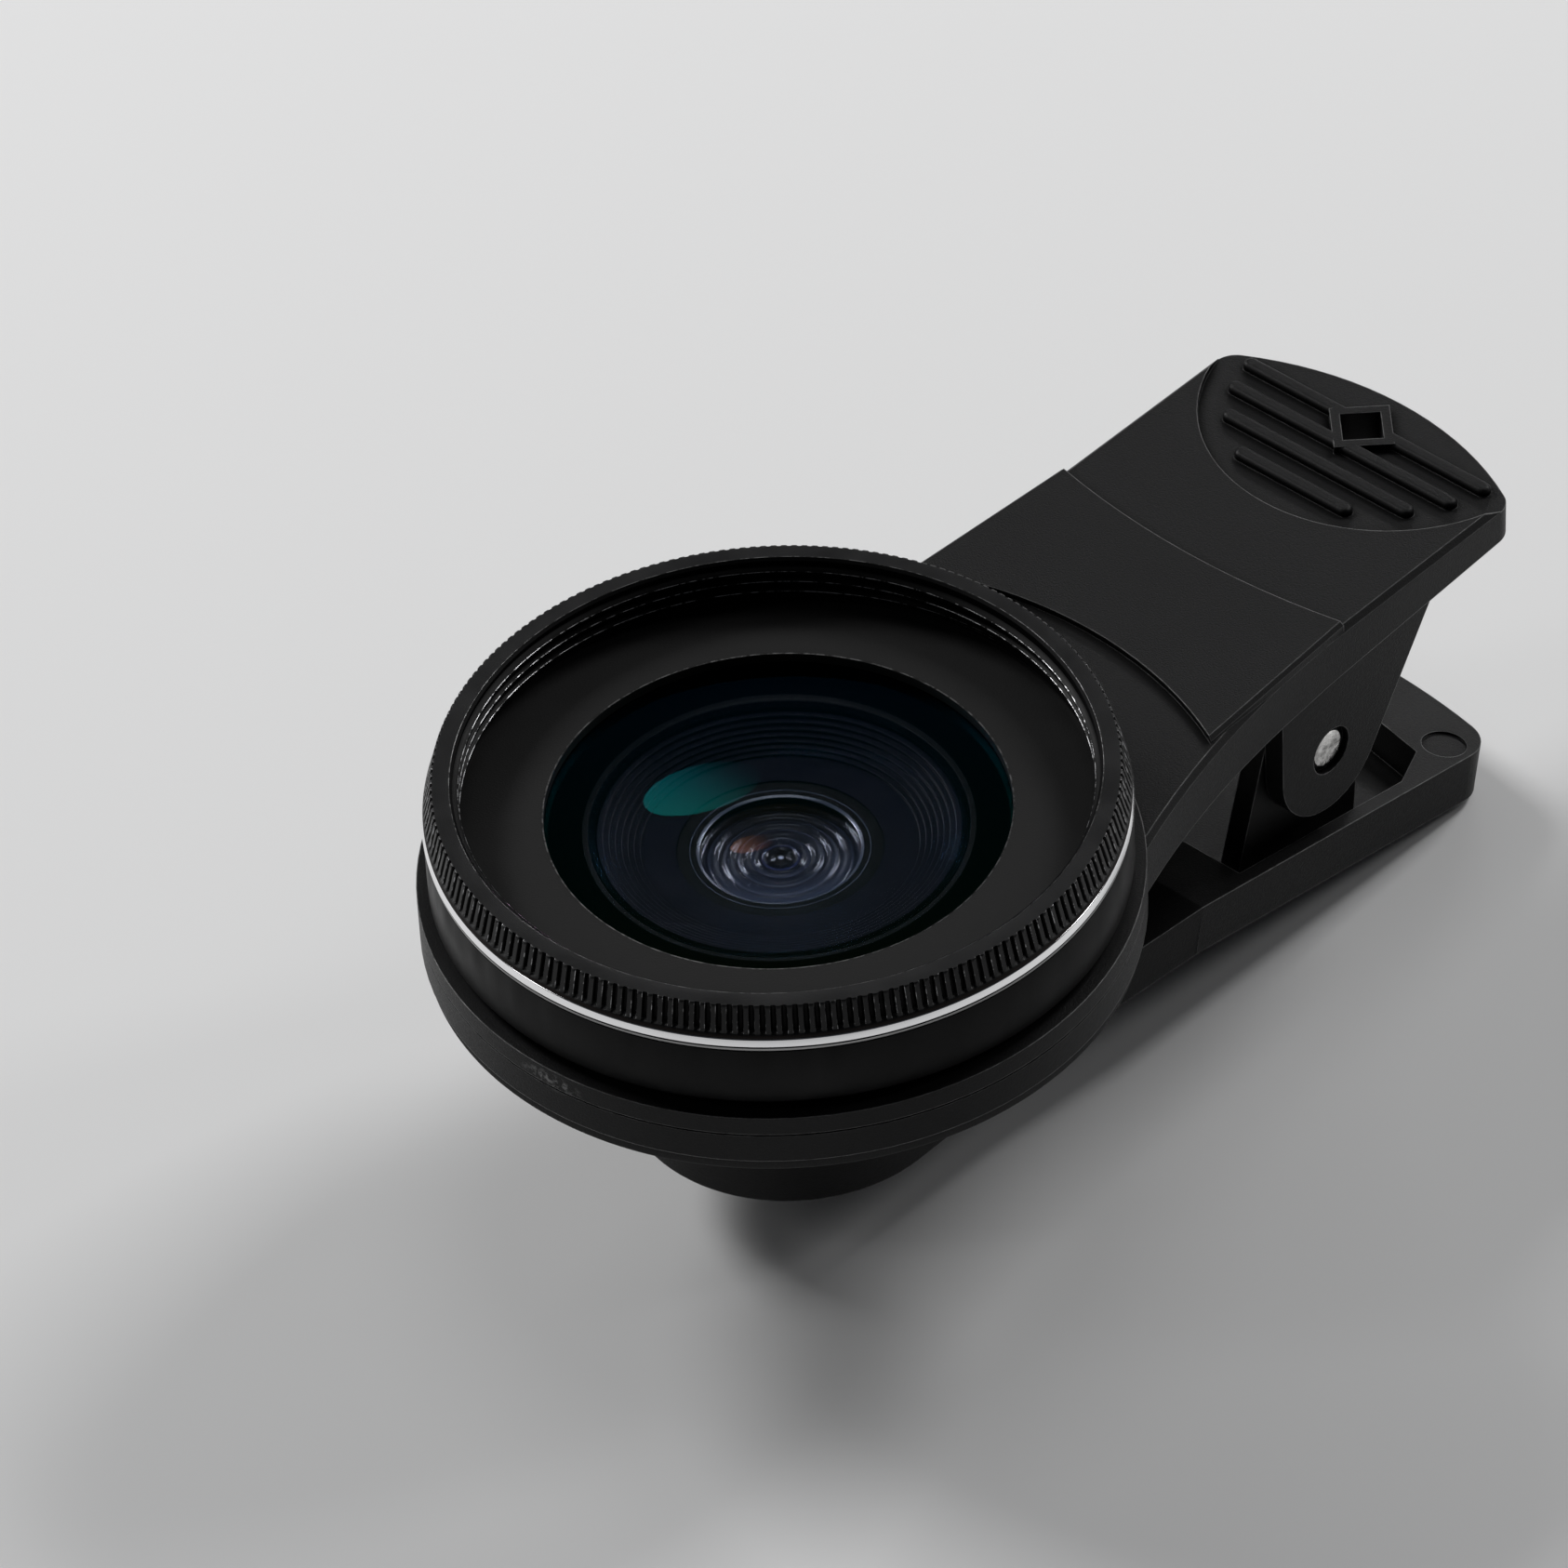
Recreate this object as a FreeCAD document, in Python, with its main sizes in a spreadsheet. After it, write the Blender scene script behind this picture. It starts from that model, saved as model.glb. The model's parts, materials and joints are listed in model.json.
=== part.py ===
import FreeCAD, Part
import math
import os
import re

import Sketcher

# Clip on phone lens: a wide lens in a sprung clip that grips the edge of a phone.
#
# The origin is on the lens axis, in the plane of the ring pad's face, where the lens stands on the
# phone. +Z runs along the lens axis to the front of the lens, and +X runs from the lens along the
# arm to the hinge and the two handles. The jaws are modelled open, as they grip a phone.

# Driving sizes in millimetres and degrees: name, value, meaning

SIZES = [
    ("ring_border", 0.68, "clip ring stands out past the barrel"),
    ("ring_top", 4.32, "clip ring, height of its flat top"),
    ("ring_pad_thickness", 1.0, "rubber under the clip ring"),
    ("ring_pad_inset", 0.15, "rubber set in from the ring's side"),
    ("window_margin", 0.42, "window in the ring pad, set back from the socket"),
    ("parting_height", 3.0, "fine line round the clip ring"),
    ("parting_depth", 0.12, "depth of that line"),
    ("mount_wall", 1.17, "mount ring, wall between the small lenses and the thread"),
    ("thread_clearance", 0.05, "radial clearance in the socket"),
    ("socket_wall", 1.3, "threaded insert in the clip ring"),
    ("fit", 0.03, "radial clearance of pieces that are pressed or screwed together"),
    ("barrel_gap", 0.56, "open gap between clip ring and barrel"),
    ("barrel_height", 3.96, "lens barrel, visible height"),
    ("trim_wall", 0.76, "bright ring, wall"),
    ("trim_height", 0.86, "bright ring, height"),
    ("trim_stand", 0.06, "bright ring, stands proud of the barrel"),
    ("trim_groove", 0.16, "bright ring, depth of its groove"),
    ("front_height", 2.02, "front ring, height"),
    ("front_inset", 0.05, "front ring's foot, set in from the barrel"),
    ("front_taper", 0.55, "front ring, taper from its foot to its face"),
    ("filter_radius", 18.5, "filter thread in the front ring"),
    ("filter_chamfer", 0.16, "chamfer at the mouth of the filter thread"),
    ("filter_runout", 0.6, "plain stretch behind the filter thread"),
    ("filter_relief", 0.25, "relief behind the filter thread"),
    ("tooth_count", 204, "teeth of the knurl"),
    ("tooth_depth", 0.3, "depth of the knurl"),
    ("tooth_band", 0.28, "plain band under the knurl"),
    ("spigot_wall", 0.43, "barrel's spigot inside trim ring and front ring"),
    ("sleeve_wall", 0.6, "front ring's sleeve inside the spigot"),
    ("spigot_rise", 0.5, "spigot's reach into the front ring"),
    ("plate_thickness", 0.5, "front retaining plate"),
    ("plate_cone", 0.4, "rise of the plate towards the glass"),
    ("plate_drop", 0.13, "retaining plate's seat, below the edge of the glass"),
    ("aperture_radius", 13.45, "opening in the front retaining plate"),
    ("plate_lip", 0.5, "retaining plate, overlap on the front glass"),
    ("glass_edge", 1.5, "front glass, thickness at its edge"),
    ("glass_crown", 1.0, "front glass, rise of its front face"),
    ("glass_hollow", 1.4, "front glass, depth of its hollow back"),
    ("glass_land", 2.75, "front glass, flat rim round its hollow back"),
    ("floor_thickness", 1.6, "barrel floor under the front glass"),
    ("collar_cover", 0.1, "mount ring's collar, reach under the flat rim of the glass"),
    ("collar_wall", 0.42, "mount ring's collar, wall round the baffle"),
    ("baffle_lip", 0.4, "baffle cone, flat edge at each end"),
    ("baffle_steps", 8, "ring grooves in the baffle cone"),
    ("groove_field", 2.65, "width of the band of ring grooves"),
    ("baffle_slope", 0.2, "baffle cone, rise of its smooth part"),
    ("web_lip", 0.8, "web in the mount ring, overlap on the small lens"),
    ("lens_radius", 7.3, "small lenses"),
    ("mount_chamfer", 0.3, "mount ring, chamfer at its end"),
    ("web_thickness", 0.7, "web in the mount ring"),
    ("web_rise", 0.03, "underside of the web, above the clip ring's top"),
    ("retainer_thickness", 0.35, "inner retaining ring"),
    ("retainer_wall", 1.37, "inner retaining ring, wall"),
    ("middle_edge", 0.8, "middle lens, thickness at its edge"),
    ("middle_crown", 0.5, "middle lens, rise of its front face"),
    ("spacer_thickness", 0.5, "spacer between the small lenses"),
    ("spacer_wall", 1.0, "spacer, wall"),
    ("rear_edge", 0.6, "rear lens, thickness at its edge"),
    ("rear_crown", 0.3, "rear lens, rise of each face"),
    ("rear_wall", 1.7, "rear retaining ring, wall"),
    ("rear_height", 1.15, "rear retaining ring, height"),
    ("rear_land_width", 0.7, "rear retaining ring, width of the land under the glass"),
    ("arm_bottom", 0.5, "arm, lower edge of its sides"),
    ("arm_step", 0.12, "arm's top face, below the clip ring's top"),
    ("arm_half_width", 11.2, "arm, half its width"),
    ("arm_plate", 1.8, "arm, thickness of its top"),
    ("arm_edge", 0.35, "arm, chamfer along its top edges"),
    ("taper_start", 33.0, "distance at which the arm starts to get thinner"),
    ("taper_angle", 3.3, "rise of the arm's lower edge towards its tip, degrees"),
    ("neck_radius", 69.0, "hollow flare from the arm to the ring"),
    ("neck_end", 37.0, "distance at which the flare meets the arm's side"),
    ("neck_overlap", 8.53, "reach of the neck into the clip ring"),
    ("tip_distance", 55.2, "lens axis to the tip of the arm"),
    ("tip_radius", 21.4, "curve of the arm's tip"),
    ("tip_corner", 1.6, "corners of the arm's tip"),
    ("channel_setback", 0.25, "hollow under the arm, behind the saddle's front step"),
    ("tip_wall", 3.7, "solid tip of the arm, behind the hollow"),
    ("saddle_height", 0.4, "raised saddle on the arm"),
    ("saddle_margin", 0.08, "saddle set in from the arm's sides"),
    ("saddle_edge", 0.25, "saddle, chamfer along its sides"),
    ("saddle_gap", 5.72, "clip ring to the saddle's front step"),
    ("saddle_end", 35.67, "saddle's rear step, on the centre line"),
    ("saddle_bow", 54.0, "curve of the saddle's rear step"),
    ("grip_setback", 1.2, "centre of the round thumb recess, from the tip"),
    ("grip_radius", 11.5, "thumb recess"),
    ("grip_depth", 0.4, "thumb recess, depth"),
    ("rib_margin", 1.65, "thumb ribs, set in from the edge of the recess"),
    ("rib_setback", 3.2, "first thumb rib, from the tip"),
    ("rib_rows", 4, "thumb ribs"),
    ("rib_clearance", 1.1, "last thumb rib, from the edge of the ribs' round field"),
    ("rib_width", 1.0, "thumb rib, width"),
    ("rib_height", 0.5, "thumb rib, height"),
    ("rib_round", 0.3, "thumb rib, round of its top edges"),
    ("lanyard_setback", 3.6, "lanyard hole, from the tip"),
    ("lanyard_reach", 1.75, "lanyard hole, centre to corner"),
    ("lanyard_border", 0.85, "raised border of the lanyard hole"),
    ("pin_distance", 36.6, "lens axis to the hinge pin"),
    ("pin_drop", 5.8, "hinge pin below the pad's face"),
    ("pin_radius", 1.25, "hinge pin"),
    ("pin_clearance", 0.05, "hinge pin in the lower ears"),
    ("pin_press", 0.01, "hinge pin in the upper ears"),
    ("pin_recess", 0.25, "pin's ends behind the outer faces of the ears"),
    ("pin_well", 0.35, "width of the well round the pin's ends"),
    ("ear_radius", 4.4, "round end of the upper ears"),
    ("ear_inset", 0.9, "upper ears, set in from the arm's sides"),
    ("ear_wall", 1.4, "ears, thickness"),
    ("ear_setback", 7.9, "top of the ears' rear edge, from the tip"),
    ("lobe_radius", 4.6, "round top of the lower ears"),
    ("ear_play", 0.2, "gap between upper and lower ears"),
    ("lobe_foot", 5.6, "lower ears, half their length at the foot"),
    ("handle_pitch", 11.0, "slope of the lower handle, degrees"),
    ("handle_underside", 9.37, "lower handle's underside below the pin"),
    ("handle_height", 3.37, "lower handle, height of its sides"),
    ("handle_overhang", 0.57, "lower handle, wider than the upper ears on each side"),
    ("handle_reach", 17.4, "pin to the tip of the lower handle"),
    ("handle_tip_radius", 40.0, "curve of the lower handle's tip"),
    ("handle_corner", 2.6, "corners of the lower handle's tip"),
    ("tray_start", 7.0, "tray in the lower handle, its start before the pin"),
    ("tray_setback", 4.9, "tray's rear edge, from the tip of the handle"),
    ("tray_shoulder_length", 4.25, "tray, length of its slanted corners"),
    ("tray_corner_width", 1.52, "tray, width of its slanted corners"),
    ("tray_floor", 1.0, "tray, thickness of its floor"),
    ("wall", 0.95, "side walls of the lower handle"),
    ("mark_setback", 3.9, "ejector marks, from the tip of the handle"),
    ("mark_inset", 1.87, "ejector marks, from the side of the handle"),
    ("mark_radius", 1.4, "ejector marks"),
    ("mark_depth", 0.15, "ejector marks, depth"),
    ("phone_gap", 8.0, "opening between the two pads as modelled"),
    ("jaw_pad_stand", 1.5, "jaw pad above the jaw"),
    ("jaw_pad_seat", 0.5, "jaw pad, depth of its seat"),
    ("jaw_pad_radius", 8.6, "jaw pad, half its width"),
    ("jaw_pad_margin", 0.59, "jaw pad's rear end, from the bend"),
    ("jaw_height", 3.4, "jaw, thickness"),
    ("jaw_rim", 1.4, "jaw, rim round its pad"),
    ("jaw_flare_length", 10.2, "stretch over which the jaw widens to the bend"),
    ("groove_setback", 10.4, "first finger groove under the handle, from its tip"),
    ("groove_pitch", 2.0, "spacing of the finger grooves"),
    ("groove_width", 0.8, "finger groove, width"),
    ("groove_depth", 0.4, "finger groove, depth"),
    ("groove_count", 5, "finger grooves"),
    ("wire_radius", 0.45, "spring wire"),
    ("coil_play", 0.55, "gap between the pin and the coil"),
    ("coil_gap", 0.2, "gap between the turns of the coil"),
    ("coil_turns", 6, "spring coil, whole turns"),
    ("leg_reach", 9.0, "spring legs, from the pin along the handles"),
    ("leg_clearance", 0.05, "spring legs, from the handles"),
]

doc = FreeCAD.newDocument("ClipOnPhoneLens")
sheet = doc.addObject("Spreadsheet::Sheet", "Sizes")
for row, (alias, value, meaning) in enumerate(SIZES, start=1):
    sheet.set(f"A{row}", alias)
    sheet.set(f"B{row}", str(value))
    sheet.setAlias(f"B{row}", alias)
    sheet.set(f"C{row}", meaning)
doc.recompute()
NAMES = {alias for alias, value, meaning in SIZES}
SUBPARTS = []

# Sizes that follow from the driving ones, in the order in which each is worked out

DERIVED = {
    "sleeve_radius": "filter_radius + sleeve_wall",
    "spigot_inside": "sleeve_radius + fit",
    "spigot_outside": "spigot_inside + spigot_wall",
    "trim_inside": "spigot_outside + fit",
    "barrel_radius": "trim_inside + trim_wall",
    "trim_outside": "barrel_radius + trim_stand",
    "front_foot_radius": "barrel_radius - front_inset",
    "front_face_radius": "front_foot_radius - front_taper",
    "ring_radius": "barrel_radius + ring_border",
    "glass_radius": "aperture_radius + plate_lip",
    "hollow_radius": "glass_radius - glass_land",
    "collar_radius": "hollow_radius + collar_cover",
    "baffle_radius": "collar_radius - collar_wall - fit",
    "baffle_mouth": "baffle_radius - baffle_lip",
    "throat_radius": "lens_radius - web_lip",
    "baffle_throat": "throat_radius - baffle_lip",
    "baffle_foot": "baffle_mouth - groove_field",
    "retainer_bore": "throat_radius - fit - retainer_wall",
    "spacer_bore": "lens_radius - spacer_wall",
    "rear_land": "lens_radius - rear_land_width",
    "rear_bore": "lens_radius - rear_wall",
    "thread_radius": "lens_radius + fit + mount_wall",
    "socket_bore": "thread_radius + thread_clearance",
    "socket_outside": "socket_bore + socket_wall",
    "window_radius": "socket_outside + fit + window_margin",
    "barrel_foot": "ring_top + barrel_gap",
    "barrel_top": "barrel_foot + barrel_height",
    "trim_top": "barrel_top + trim_height",
    "face_top": "trim_top + front_height",
    "floor_top": "barrel_foot + floor_thickness",
    "plate_seat": "floor_top + glass_edge - plate_drop",
    "plate_top": "plate_seat + plate_thickness",
    "web_height": "ring_top + web_rise",
    "web_top": "web_height + web_thickness",
    "middle_foot": "web_height - middle_edge",
    "spacer_foot": "middle_foot - spacer_thickness",
    "rear_foot": "spacer_foot - rear_edge",
    "mount_end": "rear_foot - rear_height",
    "arm_top": "ring_top - arm_step",
    "channel_top": "arm_top - arm_plate",
    "neck_root": "ring_radius - neck_overlap",
    "saddle_start": "ring_radius + saddle_gap",
    "channel_start": "saddle_start + channel_setback",
    "channel_end": "tip_distance - tip_wall",
    "grip_centre": "tip_distance - grip_setback",
    "rib_first": "tip_distance - rib_setback",
    "rib_field": "grip_radius - rib_margin",
    "rib_pitch": "(rib_field - rib_clearance - grip_centre + rib_first) / (rib_rows - 1)",
    "lanyard_centre": "tip_distance - lanyard_setback",
    "ear_slope": "tip_distance - ear_setback",
    "ear_outside": "arm_half_width - ear_inset",
    "ear_inside": "ear_outside - ear_wall",
    "lobe_outside": "ear_inside - ear_play",
    "lobe_inside": "lobe_outside - ear_wall",
    "handle_half_width": "ear_outside + handle_overhang",
    "handle_top": "handle_height - handle_underside",
    "jaw_fall": "phone_gap + jaw_pad_stand - pin_drop",
    "handle_front": "(jaw_fall + handle_top * cos(handle_pitch)) / sin(handle_pitch)",
    "tray_end": "handle_reach - tray_setback",
    "tray_shoulder": "tray_end - tray_shoulder_length",
    "tray_side": "handle_half_width - wall",
    "tray_corner": "tray_side - tray_corner_width",
    "mark_distance": "handle_reach - mark_setback",
    "mark_side": "handle_half_width - mark_inset",
    "groove_first": "handle_reach - groove_setback",
    "jaw_top": "-phone_gap - jaw_pad_stand",
    "jaw_bottom": "jaw_top - jaw_height",
    "jaw_bend": "pin_distance + handle_front * cos(handle_pitch) + handle_top * sin(handle_pitch)",
    "jaw_flare": "jaw_bend - jaw_flare_length",
    "jaw_radius": "jaw_pad_radius + jaw_rim",
    "jaw_pad_end": "jaw_bend - jaw_pad_margin - jaw_pad_radius",
    "coil_radius": "pin_radius + coil_play + wire_radius",
    "coil_pitch": "wire_radius + wire_radius + coil_gap",
}


def bound(formula):
    """A formula in size names, as an expression that reads the sheet."""

    def spelled_out(word):
        name = word[0]
        if name in DERIVED:
            return f"({bound(DERIVED[name])})"
        return f"Sizes.{name}" if name in NAMES else name

    return re.sub(r"[a-z]\w*", spelled_out, formula)


def number(name):
    """A driving size, or one that is a plain sum of others, as a number."""
    if name not in DERIVED:
        return float(sheet.get(name))
    terms = re.findall(r"(-?)\s*([a-z]\w*)", DERIVED[name])
    return sum(-number(term) if sign else number(term) for sign, term in terms)


def origin_plane(body, role):
    for item in body.Origin.OriginFeatures:
        if item.Role == role:
            return item


def new_body(label):
    body = doc.addObject("PartDesign::Body", label)
    body.Label = label
    SUBPARTS.append(body)
    return body


def new_sketch(body, name, role="XY_Plane", lift=None):
    """A sketch on one of the body's own planes, lifted along the plane's normal."""
    sketch = body.newObject("Sketcher::SketchObject", f"{body.Label}_{name}")
    sketch.AttachmentSupport = [(origin_plane(body, role), "")]
    sketch.MapMode = "FlatFace"
    if lift:
        sketch.setExpression("AttachmentOffset.Base.z", bound(lift))
    return sketch


def new_tilted_sketch(body, name, role, lift="0"):
    """A sketch in the lower handle's frame: its origin is at the pin, and X runs along the handle."""
    sketch = new_sketch(body, name, role)
    upright = role == "XY_Plane"
    spin = FreeCAD.Vector(0, 1, 0) if upright else FreeCAD.Vector(0, 0, -1)
    sketch.AttachmentOffset = FreeCAD.Placement(FreeCAD.Vector(), FreeCAD.Rotation(spin, 1.0))
    sketch.setExpression("AttachmentOffset.Rotation.Angle", bound("handle_pitch"))
    if upright:
        along = f"pin_distance + ({lift}) * sin(handle_pitch)"
        height = f"({lift}) * cos(handle_pitch) - pin_drop"
        sketch.setExpression("AttachmentOffset.Base.x", bound(along))
        sketch.setExpression("AttachmentOffset.Base.z", bound(height))
    else:
        sketch.setExpression("AttachmentOffset.Base.x", bound("pin_distance"))
        sketch.setExpression("AttachmentOffset.Base.y", bound("-pin_drop"))
    return sketch


def bind_point(sketch, curve, end, across, up):
    """Ties one end of a curve to two formulas, measured from the sketch's origin."""
    for kind, axis, formula in (("DistanceX", -2, across), ("DistanceY", -1, up)):
        place = sketch.getPoint(curve, end)
        drawn = place.x if kind == "DistanceX" else place.y
        if formula == "0":
            sketch.addConstraint(Sketcher.Constraint("PointOnObject", curve, end, axis))
        elif formula:
            index = sketch.addConstraint(Sketcher.Constraint(kind, -1, 1, curve, end, drawn))
            sketch.setExpression(f"Constraints[{index}]", bound(formula))


def bind_radius(sketch, curve, formula):
    index = sketch.addConstraint(Sketcher.Constraint("Radius", curve, sketch.Geometry[curve].Radius))
    sketch.setExpression(f"Constraints[{index}]", bound(formula))


# Edges are picked by their place, within this distance.
NEAR = 0.01

# A sketch is first drawn here, and then its formulas move it into place.
DRAWN_PLACE = 30.0
DRAWN_RADIUS = 9.0


def draw_polygon(sketch, corners):
    """Draws a closed outline with straight sides, with each corner bound to two formulas."""
    first = sketch.GeometryCount
    count = len(corners)
    turns = [2 * math.pi * index / count for index in range(count)]
    centre = FreeCAD.Vector(DRAWN_PLACE, DRAWN_PLACE, 0)
    rays = [FreeCAD.Vector(math.cos(turn), math.sin(turn), 0) for turn in turns]
    start = [centre + ray * DRAWN_RADIUS for ray in rays]
    for index in range(count):
        sketch.addGeometry(Part.LineSegment(start[index], start[(index + 1) % count]), False)
    for index in range(count):
        follower = first + (index + 1) % count
        sketch.addConstraint(Sketcher.Constraint("Coincident", first + index, 2, follower, 1))
    for index, (across, up) in enumerate(corners):
        bind_point(sketch, first + index, 1, across, up)


def draw_circle(sketch, across, up, radius):
    centre = FreeCAD.Vector(DRAWN_PLACE, DRAWN_PLACE, 0)
    circle = Part.Circle(centre, FreeCAD.Vector(0, 0, 1), DRAWN_RADIUS)
    curve = sketch.addGeometry(circle, False)
    bind_point(sketch, curve, 3, across, up)
    bind_radius(sketch, curve, radius)


def draw_block(sketch, left, right, half):
    """Draws a rectangle that is centred on the sketch's X axis."""
    draw_polygon(sketch, [(left, f"-({half})"), (right, f"-({half})"), (right, half), (left, half)])


def add_feature(body, kind, sketch, name, length=None, both_ways=False, backwards=False):
    feature = body.newObject(f"PartDesign::{kind}", f"{body.Label}_{name}")
    feature.Profile = sketch
    feature.Reversed = backwards
    feature.Midplane = both_ways
    if length:
        feature.setExpression("Length", bound(length))
    body.Tip = feature
    return feature


def pad(body, sketch, name, length, both_ways=False, backwards=False):
    return add_feature(body, "Pad", sketch, name, length, both_ways, backwards)


def pocket(body, sketch, name, length, both_ways=False, backwards=False):
    return add_feature(body, "Pocket", sketch, name, length, both_ways, backwards)


def turned(label, corners):
    """A piece turned about the lens axis from a section of (radius, height) corners."""
    body = new_body(label)
    sketch = new_sketch(body, "section", "XZ_Plane")
    draw_polygon(sketch, corners)
    feature = add_feature(body, "Revolution", sketch, "turned")
    feature.ReferenceAxis = (sketch, ["V_Axis"])
    return body


def is_upright(edge):
    """True for a straight edge that runs up and down, or nearly so."""
    if edge.Curve.TypeId != "Part::GeomLine":
        return False
    return abs(edge.tangentAt(edge.FirstParameter).z) > 0.9


def round_edges(body, name, kind, size_name, test):
    """Fillets or chamfers the edges of the body's last feature that pass a test on their middle."""
    doc.recompute()
    tip = body.Tip
    chosen = []
    for index, edge in enumerate(tip.Shape.Edges, start=1):
        if test(edge, edge.CenterOfMass):
            chosen.append(f"Edge{index}")
    feature = body.newObject(f"PartDesign::{kind}", f"{body.Label}_{name}")
    feature.Base = (tip, chosen)
    feature.setExpression("Radius" if kind == "Fillet" else "Size", bound(size_name))
    body.Tip = feature
    return feature


# Lens group, from the front glass to the thread


def section_of_front_ring():
    return [
        ("filter_radius", "plate_top + filter_runout"),
        ("filter_radius + filter_relief", "plate_top + filter_runout"),
        ("filter_radius + filter_relief", "plate_top"),
        ("sleeve_radius", "plate_top"),
        ("sleeve_radius", "trim_top + spigot_rise + fit"),
        ("trim_inside", "trim_top + spigot_rise + fit"),
        ("trim_inside", "trim_top"),
        ("front_foot_radius", "trim_top"),
        ("front_foot_radius", "trim_top + tooth_band"),
        ("front_face_radius", "face_top"),
        ("filter_radius + filter_chamfer", "face_top"),
        ("filter_radius", "face_top - filter_chamfer"),
    ]


def make_front_ring():
    """The knurl is cut into the tapered front ring: one V groove, repeated round the axis."""
    body = turned("front_ring", section_of_front_ring())
    sketch = new_sketch(body, "tooth", "XY_Plane", "trim_top + tooth_band")
    half_pitch = "front_foot_radius * tan(180 / tooth_count)"
    draw_polygon(
        sketch,
        [
            ("front_face_radius - tooth_depth", "0"),
            ("front_foot_radius + fit", f"-({half_pitch})"),
            ("front_foot_radius + fit", half_pitch),
        ],
    )
    groove = pocket(body, sketch, "groove", "front_height", backwards=True)
    pattern = body.newObject("PartDesign::PolarPattern", "front_ring_knurl")
    pattern.Originals = [groove]
    pattern.Axis = (origin_plane(body, "Z_Axis"), [""])
    pattern.Angle = 360
    pattern.setExpression("Occurrences", bound("tooth_count"))
    body.Tip = pattern
    return body


def make_trim_ring():
    """Two bright lands with a fine groove between them."""
    foot = "barrel_top"
    groove = f"{foot} + trim_height / 4"
    turned(
        "silver_trim_ring",
        [
            ("trim_inside", foot),
            ("barrel_radius", foot),
            ("trim_outside", f"{foot} + trim_stand"),
            ("trim_outside", f"{groove} - trim_groove / 2"),
            ("trim_outside - trim_groove", groove),
            ("trim_outside", f"{groove} + trim_groove / 2"),
            ("trim_outside", "trim_top - trim_stand * 2"),
            ("front_foot_radius", "trim_top"),
            ("trim_inside", "trim_top"),
        ],
    )


def make_barrel():
    """The spigot at the top carries the trim ring outside and the front ring's sleeve inside."""
    turned(
        "lens_barrel",
        [
            ("collar_radius + fit", "barrel_foot"),
            ("barrel_radius - trim_stand * 2", "barrel_foot"),
            ("barrel_radius", "barrel_foot + trim_stand * 2"),
            ("barrel_radius", "barrel_top"),
            ("spigot_outside", "barrel_top"),
            ("spigot_outside", "trim_top + spigot_rise"),
            ("spigot_inside", "trim_top + spigot_rise"),
            ("spigot_inside", "plate_seat"),
            ("glass_radius + fit", "plate_seat"),
            ("glass_radius + fit", "floor_top"),
            ("collar_radius + fit", "floor_top"),
        ],
    )


def make_front_plate():
    """A shallow cone that rises to the aperture, with a flat rim that the front ring clamps."""
    turned(
        "front_retaining_plate",
        [
            ("aperture_radius", "floor_top + glass_edge + glass_crown / 8"),
            ("glass_radius", "floor_top + glass_edge + glass_crown / 8"),
            ("glass_radius + plate_thickness", "plate_seat"),
            ("sleeve_radius", "plate_seat"),
            ("sleeve_radius", "plate_top"),
            ("filter_radius", "plate_top"),
            ("aperture_radius", "plate_top + plate_cone"),
        ],
    )


def cap_rise(crown, radius):
    """Rise of a small lens's crowned face at a radius, above the edge of that face."""
    return f"{crown} * (1 - ({radius}) / lens_radius * ({radius}) / lens_radius)"


def sphere_radius(reach, rise):
    """Radius of the sphere that rises by one size over another."""
    return f"(({reach}) * ({reach}) + ({rise}) * ({rise})) / (2 * ({rise}))"


def new_ball(name, reach, rise, rim_height, upwards):
    """A sphere whose cap rises from a rim of the given radius and height."""
    ball = doc.addObject("Part::Sphere", name)
    radius = sphere_radius(reach, rise)
    centre = f"({rim_height}) + ({rise}) - {radius}" if upwards else f"({rim_height}) - ({rise}) + {radius}"
    ball.setExpression("Radius", bound(radius))
    ball.setExpression("Placement.Base.z", bound(centre))
    return ball


def new_disc(name, radius, foot, height):
    disc = doc.addObject("Part::Cylinder", name)
    disc.setExpression("Radius", bound(radius))
    disc.setExpression("Height", bound(height))
    disc.setExpression("Placement.Base.z", bound(foot))
    return disc


def combine(kind, name, base, tool):
    result = doc.addObject(f"Part::{kind}", name)
    result.Base = base
    result.Tool = tool
    return result


def make_front_glass():
    """Negative meniscus: a crowned front, and a hollow back that sits on the barrel's floor."""
    disc = new_disc("front_glass_disc", "glass_radius", "floor_top", "glass_edge + glass_crown")
    crown = new_ball("front_glass_crown", "glass_radius", "glass_crown", "floor_top + glass_edge", True)
    hollow = new_ball("front_glass_hollow", "hollow_radius", "glass_hollow", "floor_top", True)
    blank = combine("Common", "front_glass_blank", disc, crown)
    glass = combine("Cut", "front_lens_element", blank, hollow)
    glass.Label = "front_lens_element"
    SUBPARTS.append(glass)


def make_middle_glass():
    """Flat behind and crowned in front, where it looks through the inner retaining ring."""
    disc = new_disc("middle_glass_disc", "lens_radius", "middle_foot", "middle_edge + middle_crown")
    crown = new_ball("middle_glass_crown", "lens_radius", "middle_crown", "web_height", True)
    glass = combine("Common", "middle_lens_element", disc, crown)
    glass.Label = "middle_lens_element"
    SUBPARTS.append(glass)


def make_rear_glass():
    """Crowned on both faces."""
    foot = "rear_foot - rear_crown"
    disc = new_disc("rear_glass_disc", "lens_radius", foot, "rear_edge + rear_crown * 2")
    front = new_ball("rear_glass_front", "lens_radius", "rear_crown", "spacer_foot", True)
    back = new_ball("rear_glass_back", "lens_radius", "rear_crown", "rear_foot", False)
    half = combine("Common", "rear_glass_half", disc, front)
    glass = combine("Common", "rear_lens_element", half, back)
    glass.Label = "rear_lens_element"
    SUBPARTS.append(glass)


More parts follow.
